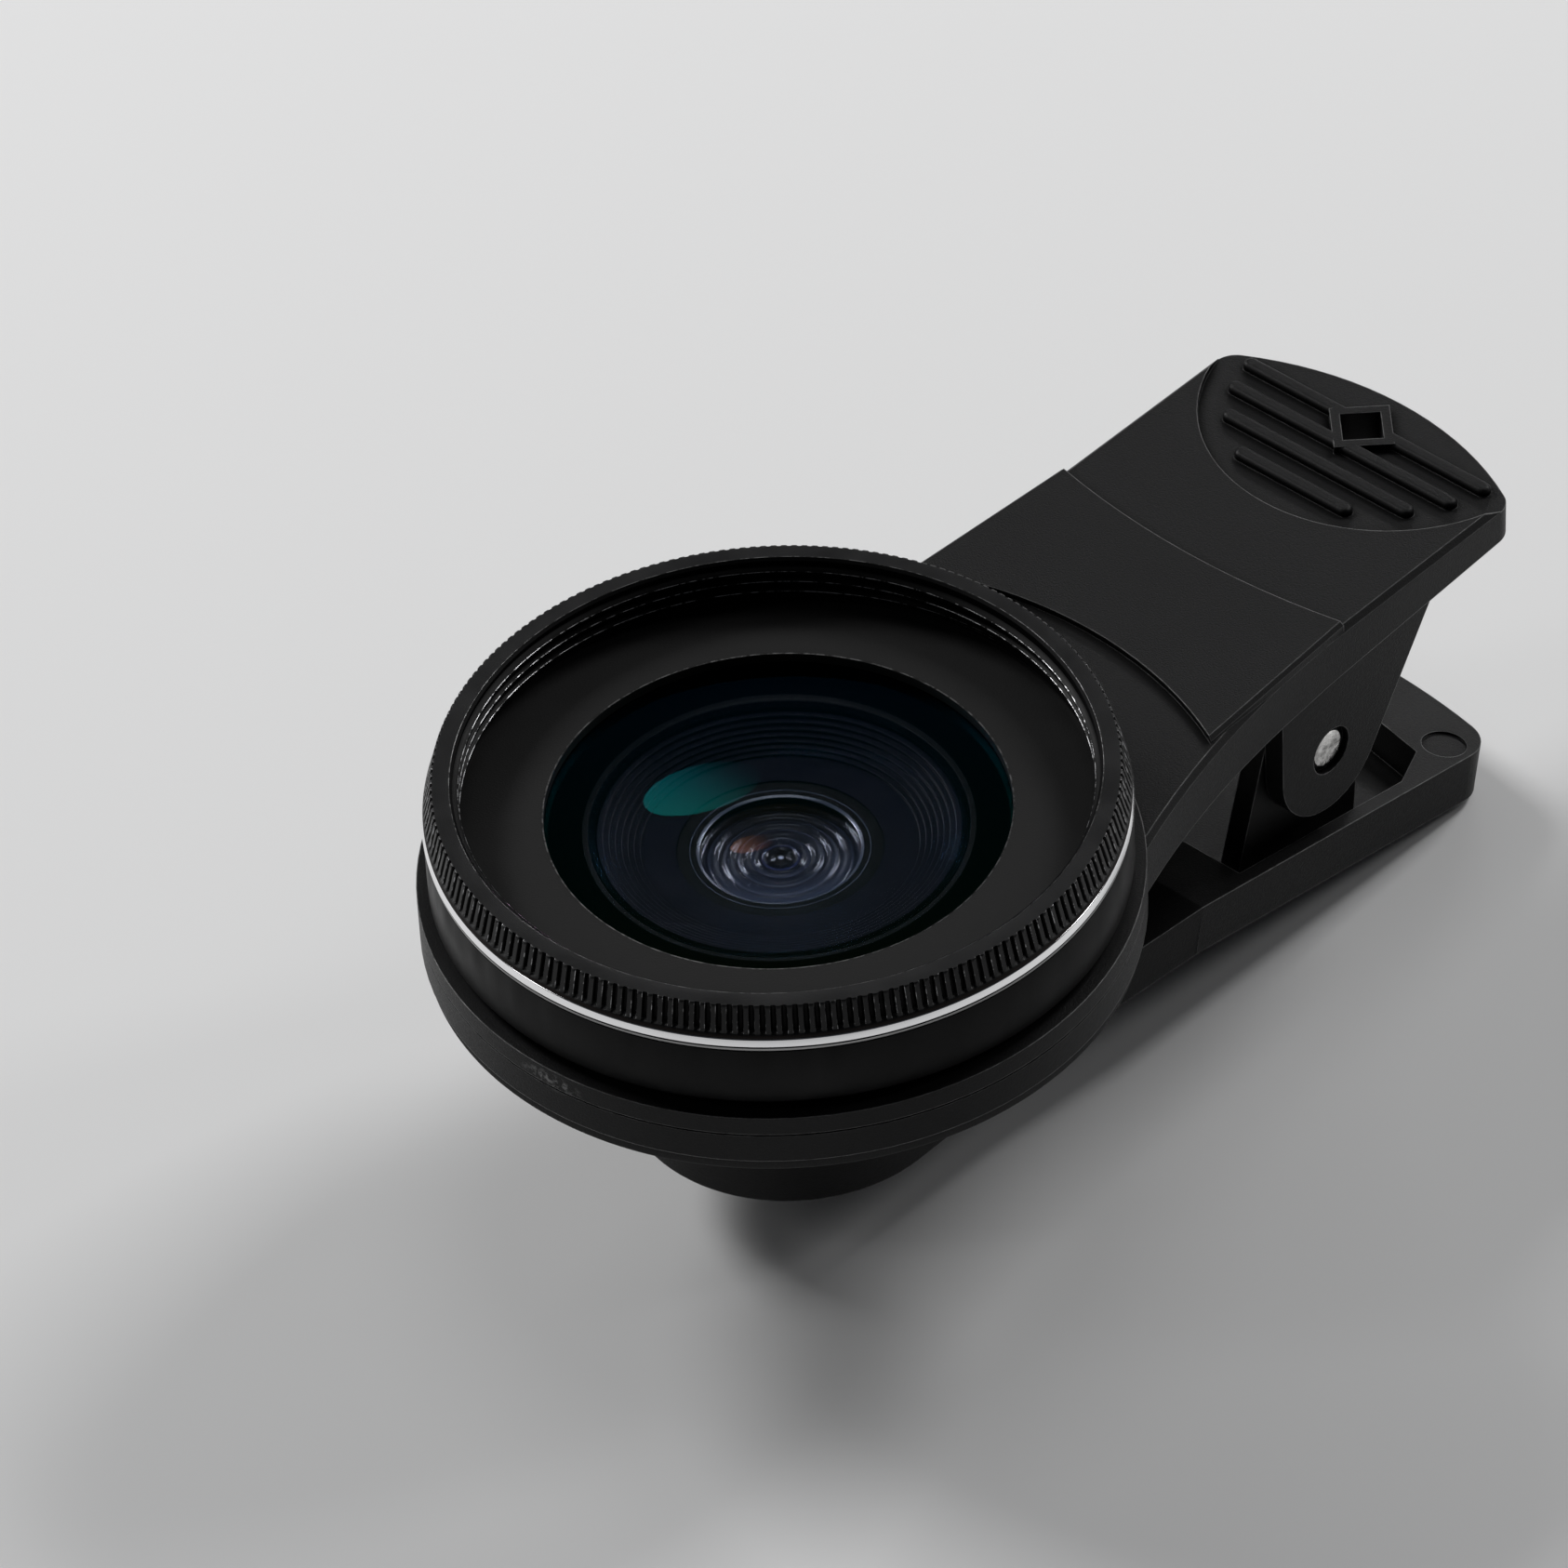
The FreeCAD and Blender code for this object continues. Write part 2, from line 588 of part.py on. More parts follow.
def make_baffle():
    """A band of fine steps stops light behind the glass, and a smooth cone leads to the small lens."""
    steps = int(number("baffle_steps"))
    corners = [
        ("baffle_throat", "web_top"),
        ("baffle_radius", "web_top"),
        ("baffle_radius", "floor_top"),
    ]
    for step in range(steps):
        share = f"(baffle_mouth - baffle_foot) / {steps}"
        drop = f"(floor_top - web_top - baffle_slope) / {steps}"
        radius = f"baffle_mouth - {share} * {step}"
        corners.append((radius, f"floor_top - {drop} * {step}"))
        corners.append((radius, f"floor_top - {drop} * {step + 1}"))
    corners.append(("baffle_foot", "web_top + baffle_slope"))
    corners.append(("baffle_throat", "web_top + fit"))
    turned("baffle_cone", corners)


def make_mount_ring():
    """The collar fills the barrel's floor and stands on the clip ring, and the thread goes through it."""
    turned(
        "mount_ring",
        [
            ("lens_radius + fit", "mount_end"),
            ("thread_radius - mount_chamfer", "mount_end"),
            ("thread_radius", "mount_end + mount_chamfer"),
            ("thread_radius", "ring_top"),
            ("collar_radius", "ring_top"),
            ("collar_radius", "floor_top"),
            ("baffle_radius + fit", "floor_top"),
            ("baffle_radius + fit", "web_top"),
            ("throat_radius", "web_top"),
            ("throat_radius", f"web_height + {cap_rise('middle_crown', 'throat_radius')} + fit"),
            ("lens_radius + fit", "web_height"),
        ],
    )


def make_small_rings():
    """Retaining rings and spacer that hold the two small lenses in the mount ring."""
    crown_gap = "web_height + middle_crown / 2 + fit"
    turned(
        "inner_retaining_ring",
        [
            ("retainer_bore", crown_gap),
            ("throat_radius - fit", crown_gap),
            ("throat_radius - fit", f"{crown_gap} + retainer_thickness"),
            ("retainer_bore + retainer_thickness / 2", f"{crown_gap} + retainer_thickness"),
        ],
    )
    turned(
        "lens_spacer_ring",
        [
            ("spacer_bore", f"spacer_foot + {cap_rise('rear_crown', 'spacer_bore')} + fit"),
            ("lens_radius", "spacer_foot + fit"),
            ("lens_radius", "middle_foot"),
            ("spacer_bore", "middle_foot"),
        ],
    )
    turned(
        "rear_retaining_ring",
        [
            ("rear_bore + rear_crown", "mount_end"),
            ("lens_radius", "mount_end"),
            ("lens_radius", "rear_foot - fit"),
            ("rear_land", f"rear_foot - {cap_rise('rear_crown', 'rear_land')} - fit"),
            ("rear_bore", "rear_foot - rear_crown - fit"),
        ],
    )


# Clip group


def make_upper_lever():
    body = new_body("upper_lever")
    add_ring(body)
    add_arm(body)
    add_upper_ears(body)
    cut_arm_channel(body)
    add_saddle(body)
    add_thumb_grip(body)
    cut_upper_holes(body)


def add_ring(body):
    """Flat ring that seats the lens, with the fine parting line round its side."""
    sketch = new_sketch(body, "ring_outline", lift="ring_pad_thickness")
    draw_circle(sketch, "0", "0", "ring_radius")
    pad(body, sketch, "ring", "ring_top - ring_pad_thickness")
    line = new_sketch(body, "parting_section", "XZ_Plane")
    draw_polygon(
        line,
        [
            ("ring_radius - parting_depth", "parting_height"),
            ("ring_radius + parting_depth", "parting_height - parting_depth"),
            ("ring_radius + parting_depth", "parting_height + parting_depth"),
        ],
    )
    groove = add_feature(body, "Groove", line, "parting_line")
    groove.ReferenceAxis = (line, ["V_Axis"])


def draw_arm_outline(sketch):
    """Two hollow flares, two straight sides and a bowed tip, drawn near their places and then bound."""
    half = number("arm_half_width")
    flare = number("neck_radius")
    end = number("neck_end")
    root = number("neck_root")
    tip = number("tip_distance")
    bow = number("tip_radius")
    up = FreeCAD.Vector(0, 0, 1)
    sweep = math.asin((end - root) / flare)
    corner = tip - bow + math.sqrt(bow * bow - half * half)
    lean = math.asin(half / bow)
    root_half = half + flare * (1 - math.cos(sweep))
    lower = FreeCAD.Vector(end, -half - flare, 0)
    upper = FreeCAD.Vector(end, half + flare, 0)
    quarter = math.pi / 2
    flare_low = Part.ArcOfCircle(Part.Circle(lower, up, flare), quarter, quarter + sweep)
    flare_high = Part.ArcOfCircle(Part.Circle(upper, up, flare), -quarter - sweep, -quarter)
    tip_bow = Part.ArcOfCircle(Part.Circle(FreeCAD.Vector(tip - bow, 0, 0), up, bow), -lean, lean)
    side_low = Part.LineSegment(FreeCAD.Vector(end, -half, 0), FreeCAD.Vector(corner, -half, 0))
    side_high = Part.LineSegment(FreeCAD.Vector(end, half, 0), FreeCAD.Vector(corner, half, 0))
    back = Part.LineSegment(FreeCAD.Vector(root, -root_half, 0), FreeCAD.Vector(root, root_half, 0))
    for curve in (flare_low, side_low, tip_bow, side_high, flare_high, back):
        sketch.addGeometry(curve, False)
    links = [(0, 1, 1, 1), (1, 2, 2, 1), (2, 2, 3, 2), (3, 1, 4, 2), (4, 1, 5, 2), (5, 1, 0, 2)]
    for first, first_end, second, second_end in links:
        sketch.addConstraint(Sketcher.Constraint("Coincident", first, first_end, second, second_end))
    bind_radius(sketch, 2, "tip_radius")
    bind_point(sketch, 0, 3, "neck_end", "-(arm_half_width + neck_radius)")
    bind_point(sketch, 4, 3, "neck_end", "arm_half_width + neck_radius")
    bind_point(sketch, 2, 3, "tip_distance - tip_radius", "0")
    bind_point(sketch, 1, 1, "neck_end", "-arm_half_width")
    bind_point(sketch, 3, 1, "neck_end", "arm_half_width")
    bind_point(sketch, 1, 2, None, "-arm_half_width")
    bind_point(sketch, 3, 2, None, "arm_half_width")
    bind_point(sketch, 5, 1, "neck_root", None)
    bind_point(sketch, 5, 2, "neck_root", None)


def add_arm(body):
    """The flat arm, with round corners at its tip and a fine chamfer along its top edges.

    Its lower edge rises towards the tip, so that the arm gets thinner there.
    """
    sketch = new_sketch(body, "arm_outline", lift="arm_bottom")
    draw_arm_outline(sketch)
    pad(body, sketch, "arm", "arm_top - arm_bottom")
    tip = number("tip_distance") - number("tip_radius")
    top = number("arm_top")
    ring = number("ring_radius")
    round_edges(
        body,
        "tip_corners",
        "Fillet",
        "tip_corner",
        lambda edge, middle: is_upright(edge) and middle.x > tip,
    )
    round_edges(
        body,
        "top_edges",
        "Chamfer",
        "arm_edge",
        lambda edge, middle: abs(middle.z - top) < NEAR and math.hypot(middle.x, middle.y) > ring + 0.5,
    )
    wedge = new_sketch(body, "taper_outline", "XZ_Plane")
    far = "(tip_distance + arm_edge)"
    draw_polygon(
        wedge,
        [
            ("taper_start", "arm_bottom"),
            (far, f"arm_bottom + ({far} - taper_start) * tan(taper_angle)"),
            (far, "arm_bottom - arm_edge"),
            ("taper_start", "arm_bottom - arm_edge"),
        ],
    )
    pocket(body, wedge, "taper", "(arm_half_width + arm_edge) * 2", both_ways=True)


def add_upper_ears(body):
    """Two ears hang from the arm. Their front edge is upright and their rear edge slants to the arm."""
    sketch = new_sketch(body, "ear_outline", "XZ_Plane")
    pin = FreeCAD.Vector(number("pin_distance"), -number("pin_drop"), 0)
    radius = number("ear_radius")
    top = (number("arm_bottom") + number("arm_top")) / 2
    rear = FreeCAD.Vector(number("ear_slope"), top, 0)
    reach = rear - pin
    lean = math.atan2(reach.y, reach.x) - math.acos(radius / reach.Length)
    touch = pin + FreeCAD.Vector(radius * math.cos(lean), radius * math.sin(lean), 0)
    front = FreeCAD.Vector(pin.x - radius, pin.y, 0)
    corner = FreeCAD.Vector(front.x, top, 0)
    lobe = Part.ArcOfCircle(Part.Circle(pin, FreeCAD.Vector(0, 0, 1), radius), math.pi, 2 * math.pi + lean)
    front_side = Part.LineSegment(corner, front)
    rear_side = Part.LineSegment(touch, rear)
    for curve in (front_side, lobe, rear_side, Part.LineSegment(rear, corner)):
        sketch.addGeometry(curve, False)
    for first, first_end, second, second_end in ((1, 1, 0, 2), (1, 2, 2, 1)):
        sketch.addConstraint(Sketcher.Constraint("Tangent", first, first_end, second, second_end))
    for first, first_end, second, second_end in ((2, 2, 3, 1), (3, 2, 0, 1)):
        sketch.addConstraint(Sketcher.Constraint("Coincident", first, first_end, second, second_end))
    bind_radius(sketch, 1, "ear_radius")
    bind_point(sketch, 1, 3, "pin_distance", "-pin_drop")
    bind_point(sketch, 3, 1, "ear_slope", "(arm_bottom + arm_top) / 2")
    bind_point(sketch, 3, 2, "pin_distance - ear_radius", "(arm_bottom + arm_top) / 2")
    pad(body, sketch, "ears", "ear_outside * 2", both_ways=True)


def cut_arm_channel(body):
    """The arm is hollow below, which leaves a plate, two skirts and the two separate ears."""
    sketch = new_sketch(body, "channel_outline", lift="-(pin_drop + ear_radius + fit)")
    draw_block(sketch, "channel_start", "channel_end", "ear_inside")
    pocket(body, sketch, "channel", "channel_top + pin_drop + ear_radius + fit", backwards=True)


def add_saddle(body):
    """A low raised plate between a step round the lens and a bowed step before the thumb pad."""
    sketch = new_sketch(body, "saddle_outline", lift="arm_top - arm_edge")
    up = FreeCAD.Vector(0, 0, 1)
    step = number("saddle_start")
    bow = number("saddle_bow")
    end = number("saddle_end")
    front_lean = math.asin(number("arm_half_width") / step)
    rear_lean = math.asin(number("arm_half_width") / bow)
    front = Part.ArcOfCircle(Part.Circle(FreeCAD.Vector(), up, step), -front_lean, front_lean)
    centre = FreeCAD.Vector(end + bow, 0, 0)
    rear = Part.ArcOfCircle(Part.Circle(centre, up, bow), math.pi - rear_lean, math.pi + rear_lean)
    low = Part.LineSegment(front.StartPoint, rear.EndPoint)
    high = Part.LineSegment(rear.StartPoint, front.EndPoint)
    for curve in (front, low, rear, high):
        sketch.addGeometry(curve, False)
    for first, first_end, second, second_end in ((0, 1, 1, 1), (1, 2, 2, 2), (2, 1, 3, 1), (3, 2, 0, 2)):
        sketch.addConstraint(Sketcher.Constraint("Coincident", first, first_end, second, second_end))
    bind_radius(sketch, 0, "saddle_start")
    bind_radius(sketch, 2, "saddle_bow")
    bind_point(sketch, 0, 3, "0", "0")
    bind_point(sketch, 2, 3, "saddle_end + saddle_bow", "0")
    narrow = "arm_half_width - saddle_margin"
    ahead = "(neck_end - saddle_start)"
    flare = f"neck_radius - sqrt(neck_radius * neck_radius - {ahead} * {ahead})"
    wide = f"{narrow} + {flare}"
    bind_point(sketch, 1, 1, None, f"-({wide})")
    bind_point(sketch, 3, 2, None, wide)
    bind_point(sketch, 1, 2, None, f"-({narrow})")
    bind_point(sketch, 3, 1, None, narrow)
    pad(body, sketch, "saddle", "arm_edge + saddle_height")
    level = number("arm_top") + number("saddle_height")
    half = number("arm_half_width") / 2
    round_edges(
        body,
        "saddle_sides",
        "Chamfer",
        "saddle_edge",
        lambda edge, middle: abs(middle.z - level) < NEAR and abs(middle.y) > half,
    )


def add_thumb_grip(body):
    """A round shallow recess, ribs across it, and a raised border round the lanyard hole."""
    recess = new_sketch(body, "grip_outline", lift="arm_top")
    draw_circle(recess, "grip_centre", "0", "grip_radius")
    pocket(body, recess, "grip_recess", "grip_depth")
    ribs = new_sketch(body, "rib_outline", lift="arm_top - grip_depth")
    for row in range(int(number("rib_rows"))):
        draw_rib(ribs, row)
    pad(body, ribs, "ribs", "rib_height")
    level = number("arm_top") - number("grip_depth") + number("rib_height")
    round_edges(
        body,
        "rib_tops",
        "Fillet",
        "rib_round",
        lambda edge, middle: abs(middle.z - level) < NEAR and middle.x > number("grip_centre") / 2,
    )
    border = new_sketch(body, "border_outline", lift="arm_top - grip_depth")
    draw_diamond(border, "lanyard_reach + lanyard_border")
    pad(body, border, "lanyard_border", "rib_height")


def draw_rib(sketch, row):
    """A strip across the recess, with round ends that follow the edge of the ribs' field."""
    field = number("rib_field")
    radius = number("rib_width") / 2
    centre = number("grip_centre")
    pitch = field - number("rib_clearance") - centre + number("rib_first")
    place = number("rib_first") - pitch / (number("rib_rows") - 1) * row
    reach = math.sqrt(field**2 - (centre - place) ** 2) - radius
    up = FreeCAD.Vector(0, 0, 1)
    low = Part.Circle(FreeCAD.Vector(place, -reach, 0), up, radius)
    high = Part.Circle(FreeCAD.Vector(place, reach, 0), up, radius)
    low_end = Part.ArcOfCircle(low, math.pi, 2 * math.pi)
    high_end = Part.ArcOfCircle(high, 0, math.pi)
    near = Part.LineSegment(low_end.EndPoint, high_end.StartPoint)
    far = Part.LineSegment(high_end.EndPoint, low_end.StartPoint)
    first = sketch.GeometryCount
    for curve in (low_end, near, high_end, far):
        sketch.addGeometry(curve, False)
    for index in range(4):
        follower = first + (index + 1) % 4
        sketch.addConstraint(Sketcher.Constraint("Tangent", first + index, 2, follower, 1))
    middle = f"(rib_first - rib_pitch * {row})"
    away = f"(grip_centre - {middle})"
    half = f"sqrt(rib_field * rib_field - {away} * {away}) - rib_width / 2"
    bind_radius(sketch, first, "rib_width / 2")
    bind_point(sketch, first, 3, middle, f"-({half})")
    bind_point(sketch, first + 2, 3, middle, half)


def draw_diamond(sketch, reach):
    """A square on its corner round the lanyard hole's centre."""
    draw_polygon(
        sketch,
        [
            (f"lanyard_centre - ({reach})", "0"),
            ("lanyard_centre", f"-({reach})"),
            (f"lanyard_centre + ({reach})", "0"),
            ("lanyard_centre", reach),
        ],
    )


def cut_upper_holes(body):
    """Socket for the threaded insert, lanyard hole, and pin holes with a shallow well outside."""
    socket = new_sketch(body, "socket_outline", lift="arm_bottom")
    draw_circle(socket, "0", "0", "socket_outside + fit")
    pocket(body, socket, "socket", "ring_top", backwards=True)
    seat = new_sketch(body, "ring_pad_seat_outline", lift="ring_pad_thickness")
    draw_circle(seat, "0", "0", "ring_radius")
    pocket(body, seat, "ring_pad_seat", "ring_pad_thickness")
    lanyard = new_sketch(body, "lanyard_outline", lift="arm_bottom")
    draw_diamond(lanyard, "lanyard_reach")
    pocket(body, lanyard, "lanyard_hole", "arm_top", backwards=True)
    hole = new_sketch(body, "pin_outline", "XZ_Plane")
    draw_circle(hole, "pin_distance", "-pin_drop", "pin_radius + pin_press")
    pocket(body, hole, "pin_holes", "arm_half_width * 2", both_ways=True)
    for name, lift, backwards in (("left", "-ear_outside", True), ("right", "ear_outside", False)):
        well = new_sketch(body, f"{name}_well_outline", "XZ_Plane", lift)
        draw_circle(well, "pin_distance", "-pin_drop", "pin_radius + pin_well")
        pocket(body, well, f"{name}_well", "pin_recess * 2", backwards=backwards)


def make_lower_lever():
    body = new_body("lower_lever")
    add_handle(body)
    add_jaw(body)
    cut_tray(body)
    add_lower_ears(body)
    cut_lower_details(body)


def bend_place():
    """Distance from the lens axis at which the level top of the jaw meets the handle's sloping top."""
    slope = math.radians(number("handle_pitch"))
    top = number("handle_top")
    front = (number("jaw_fall") + top * math.cos(slope)) / math.sin(slope)
    return number("pin_distance") + front * math.cos(slope) + top * math.sin(slope)


def draw_handle_outline(sketch):
    """Straight sides and a bowed tip, in the handle's own frame."""
    half = number("handle_half_width")
    bow = number("handle_tip_radius")
    tip = number("handle_reach")
    corner = tip - bow + math.sqrt(bow * bow - half * half)
    lean = math.asin(half / bow)
    front = bend_place() - number("pin_distance")
    up = FreeCAD.Vector(0, 0, 1)
    low_front = FreeCAD.Vector(front, -half, 0)
    high_front = FreeCAD.Vector(front, half, 0)
    low = Part.LineSegment(low_front, FreeCAD.Vector(corner, -half, 0))
    end = Part.ArcOfCircle(Part.Circle(FreeCAD.Vector(tip - bow, 0, 0), up, bow), -lean, lean)
    high = Part.LineSegment(FreeCAD.Vector(corner, half, 0), high_front)
    for curve in (low, end, high, Part.LineSegment(high_front, low_front)):
        sketch.addGeometry(curve, False)
    for first, first_end, second, second_end in ((0, 2, 1, 1), (1, 2, 2, 1), (2, 2, 3, 1), (3, 2, 0, 1)):
        sketch.addConstraint(Sketcher.Constraint("Coincident", first, first_end, second, second_end))
    bind_radius(sketch, 1, "handle_tip_radius")
    bind_point(sketch, 1, 3, "handle_reach - handle_tip_radius", "0")
    bind_point(sketch, 0, 1, "handle_front", "-handle_half_width")
    bind_point(sketch, 3, 1, "handle_front", "handle_half_width")
    bind_point(sketch, 0, 2, None, "-handle_half_width")
    bind_point(sketch, 2, 1, None, "handle_half_width")


def add_handle(body):
    """The handle slopes away from the phone, so its sketches lie in the handle's own frame."""
    sketch = new_tilted_sketch(body, "handle_outline", "XY_Plane", "-handle_underside")
    draw_handle_outline(sketch)
    pad(body, sketch, "handle", "handle_height")
    pin = number("pin_distance")
    round_edges(
        body,
        "handle_corners",
        "Fillet",
        "handle_corner",
        lambda edge, middle: is_upright(edge) and middle.x > pin,
    )


def add_jaw(body):
    """The jaw is level with the phone, round at its end, and widens into the handle."""
    sketch = new_sketch(body, "jaw_outline", lift="jaw_bottom")
    radius = number("jaw_radius")
    bend = bend_place()
    flare = bend - number("jaw_flare_length")
    half = number("handle_half_width")
    up = FreeCAD.Vector(0, 0, 1)
    end = Part.ArcOfCircle(Part.Circle(FreeCAD.Vector(), up, radius), math.pi / 2, 3 * math.pi / 2)
    corners = [(0, -radius), (flare, -radius), (bend, -half), (bend, half), (flare, radius), (0, radius)]
    points = [FreeCAD.Vector(across, side, 0) for across, side in corners]
    sketch.addGeometry(end, False)
    for first, second in zip(points, points[1:]):
        sketch.addGeometry(Part.LineSegment(first, second), False)
    count = len(points)
    for index in range(count):
        sketch.addConstraint(Sketcher.Constraint("Coincident", index, 2, (index + 1) % count, 1))
    bind_radius(sketch, 0, "jaw_radius")
    bind_point(sketch, 0, 3, "0", "0")
    bind_point(sketch, 1, 1, "0", None)
    bind_point(sketch, 5, 2, "0", None)
    bind_point(sketch, 2, 1, "jaw_flare", "-jaw_radius")
    bind_point(sketch, 3, 1, "jaw_bend", "-handle_half_width")
    bind_point(sketch, 4, 1, "jaw_bend", "handle_half_width")
    bind_point(sketch, 5, 1, "jaw_flare", "jaw_radius")
    pad(body, sketch, "jaw", "jaw_height")
    seat = new_sketch(body, "seat_outline", lift="jaw_top - jaw_pad_seat")
    draw_pad_outline(seat, "fit")
    pocket(body, seat, "pad_seat", "jaw_height", backwards=True)


def draw_pad_outline(sketch, extra):
    """A round-ended strip from the lens axis along the jaw."""
    radius = number("jaw_pad_radius")
    end = bend_place() - number("jaw_pad_margin") - radius
    up = FreeCAD.Vector(0, 0, 1)
    near = Part.ArcOfCircle(Part.Circle(FreeCAD.Vector(), up, radius), math.pi / 2, 3 * math.pi / 2)
    far = Part.ArcOfCircle(Part.Circle(FreeCAD.Vector(end, 0, 0), up, radius), -math.pi / 2, math.pi / 2)
    low = Part.LineSegment(FreeCAD.Vector(0, -radius, 0), FreeCAD.Vector(end, -radius, 0))
    high = Part.LineSegment(FreeCAD.Vector(end, radius, 0), FreeCAD.Vector(0, radius, 0))
    for curve in (near, low, far, high):
        sketch.addGeometry(curve, False)
    for index in range(4):
        sketch.addConstraint(Sketcher.Constraint("Tangent", index, 2, (index + 1) % 4, 1))
    sketch.addConstraint(Sketcher.Constraint("Equal", 0, 2))
    bind_radius(sketch, 0, f"jaw_pad_radius + {extra}")
    bind_point(sketch, 0, 3, "0", "0")
    bind_point(sketch, 2, 3, "jaw_pad_end", "0")


def cut_tray(body):
    """The tray that the spring lies in, with slanted corners at its rear edge."""
    sketch = new_tilted_sketch(body, "tray_outline", "XY_Plane", "-handle_underside + tray_floor")
    draw_polygon(
        sketch,
        [
            ("-tray_start", "-tray_side"),
            ("tray_shoulder", "-tray_side"),
            ("tray_end - wall", "-tray_corner"),
            ("tray_end", "-tray_corner / 2"),
            ("tray_end", "tray_corner / 2"),
            ("tray_end - wall", "tray_corner"),
            ("tray_shoulder", "tray_side"),
            ("-tray_start", "tray_side"),
        ],
    )
    pocket(body, sketch, "tray", "handle_height", backwards=True)


def add_lower_ears(body):
    """Two ears rise from the tray to the pin, between the upper ears."""
    sketch = new_tilted_sketch(body, "lobe_outline", "XZ_Plane")
    radius = number("lobe_radius")
    foot = -number("handle_underside") + number("tray_floor") / 2
    half = number("lobe_foot")
    low = FreeCAD.Vector(-half, foot, 0)
    reach = low.Length
    lean = math.atan2(foot, half) + math.acos(radius / reach)
    right = FreeCAD.Vector(radius * math.cos(lean), radius * math.sin(lean), 0)
    left = FreeCAD.Vector(-right.x, right.y, 0)
    high = FreeCAD.Vector(half, foot, 0)
    crown = Part.Circle(FreeCAD.Vector(), FreeCAD.Vector(0, 0, 1), radius)
    lobe = Part.ArcOfCircle(crown, lean, math.pi - lean)
    left_side = Part.LineSegment(left, low)
    right_side = Part.LineSegment(high, right)
    for curve in (lobe, left_side, Part.LineSegment(low, high), right_side):
        sketch.addGeometry(curve, False)
    for first, first_end, second, second_end in ((0, 2, 1, 1), (3, 2, 0, 1)):
        sketch.addConstraint(Sketcher.Constraint("Tangent", first, first_end, second, second_end))
    for first, first_end, second, second_end in ((1, 2, 2, 1), (2, 2, 3, 1)):
        sketch.addConstraint(Sketcher.Constraint("Coincident", first, first_end, second, second_end))
    bind_radius(sketch, 0, "lobe_radius")
    bind_point(sketch, 0, 3, "0", "0")
    bind_point(sketch, 2, 1, "-lobe_foot", "-handle_underside + tray_floor / 2")
    bind_point(sketch, 2, 2, "lobe_foot", "-handle_underside + tray_floor / 2")
    pad(body, sketch, "ears", "lobe_outside * 2", both_ways=True)
    gap = new_tilted_sketch(body, "gap_outline", "XY_Plane", "-handle_underside + tray_floor")
    draw_block(gap, "-tray_start", "lobe_foot + wall", "lobe_inside")
    pocket(body, gap, "ear_gap", "handle_underside + lobe_radius", backwards=True)


def cut_lower_details(body):
    """Pin hole, ejector marks on the handle and finger grooves below it."""
    hole = new_tilted_sketch(body, "pin_outline", "XZ_Plane")
    draw_circle(hole, "0", "0", "pin_radius + pin_clearance")
    pocket(body, hole, "pin_holes", "lobe_outside * 2 + wall", both_ways=True)
    marks = new_tilted_sketch(body, "mark_outline", "XY_Plane", "handle_top - mark_depth")
    draw_circle(marks, "mark_distance", "-mark_side", "mark_radius")
    draw_circle(marks, "mark_distance", "mark_side", "mark_radius")
    pocket(body, marks, "ejector_marks", "mark_depth * 2", backwards=True)
    groove = new_tilted_sketch(body, "groove_outline", "XY_Plane", "-handle_underside")
    draw_block(groove, "groove_first", "groove_first + groove_width", "lobe_outside")
    cut = pocket(body, groove, "finger_groove", "groove_depth", backwards=True)
    rows = body.newObject("PartDesign::LinearPattern", "lower_lever_finger_grooves")
    rows.Originals = [cut]
    rows.Direction = (groove, ["H_Axis"])
    rows.setExpression("Length", bound("groove_pitch * (groove_count - 1)"))
    rows.setExpression("Occurrences", bound("groove_count"))
    body.Tip = rows


def make_pads():
    """Rubber ring under the clip ring, and the strip on the jaw that faces it."""
    outside = "ring_radius - ring_pad_inset"
    turned(
        "ring_pad",
        [
            ("window_radius", "0"),
            (f"{outside} - ring_pad_inset", "0"),
            (outside, "ring_pad_inset"),
            (outside, "ring_pad_thickness"),
            ("window_radius", "ring_pad_thickness"),
        ],
    )
    body = new_body("jaw_pad")
    sketch = new_sketch(body, "outline", lift="jaw_top - jaw_pad_seat")
    draw_pad_outline(sketch, "0")
    pad(body, sketch, "strip", "jaw_pad_stand + jaw_pad_seat")
    top = -number("phone_gap")
    round_edges(
        body,
        "rim",
        "Chamfer",
        "ring_pad_inset * 2",
        lambda edge, middle: abs(middle.z - top) < NEAR,
    )


def make_socket_ring():
    turned(
        "socket_ring",
        [
            ("socket_bore", "ring_pad_thickness"),
            ("socket_outside", "ring_pad_thickness"),
            ("socket_outside", "ring_top - fit"),
            ("socket_bore", "ring_top - fit"),
        ],
    )


def make_pin():
    pin = doc.addObject("Part::Cylinder", "hinge_pin")
    pin.Label = "hinge_pin"
    pin.setExpression("Radius", bound("pin_radius"))
    pin.setExpression("Height", bound("(ear_outside - pin_recess) * 2"))
    pin.Placement.Rotation = FreeCAD.Rotation(FreeCAD.Vector(1, 0, 0), 90)
    pin.setExpression("Placement.Base.x", bound("pin_distance"))
    pin.setExpression("Placement.Base.y", bound("ear_outside - pin_recess"))
    pin.setExpression("Placement.Base.z", bound("-pin_drop"))
    SUBPARTS.append(pin)


def leg_start(target, radius, side):
    """Where a straight leg to the target leaves the coil, as an angle round the pin."""
    return math.atan2(target[1], target[0]) + side * math.acos(radius / math.hypot(*target))


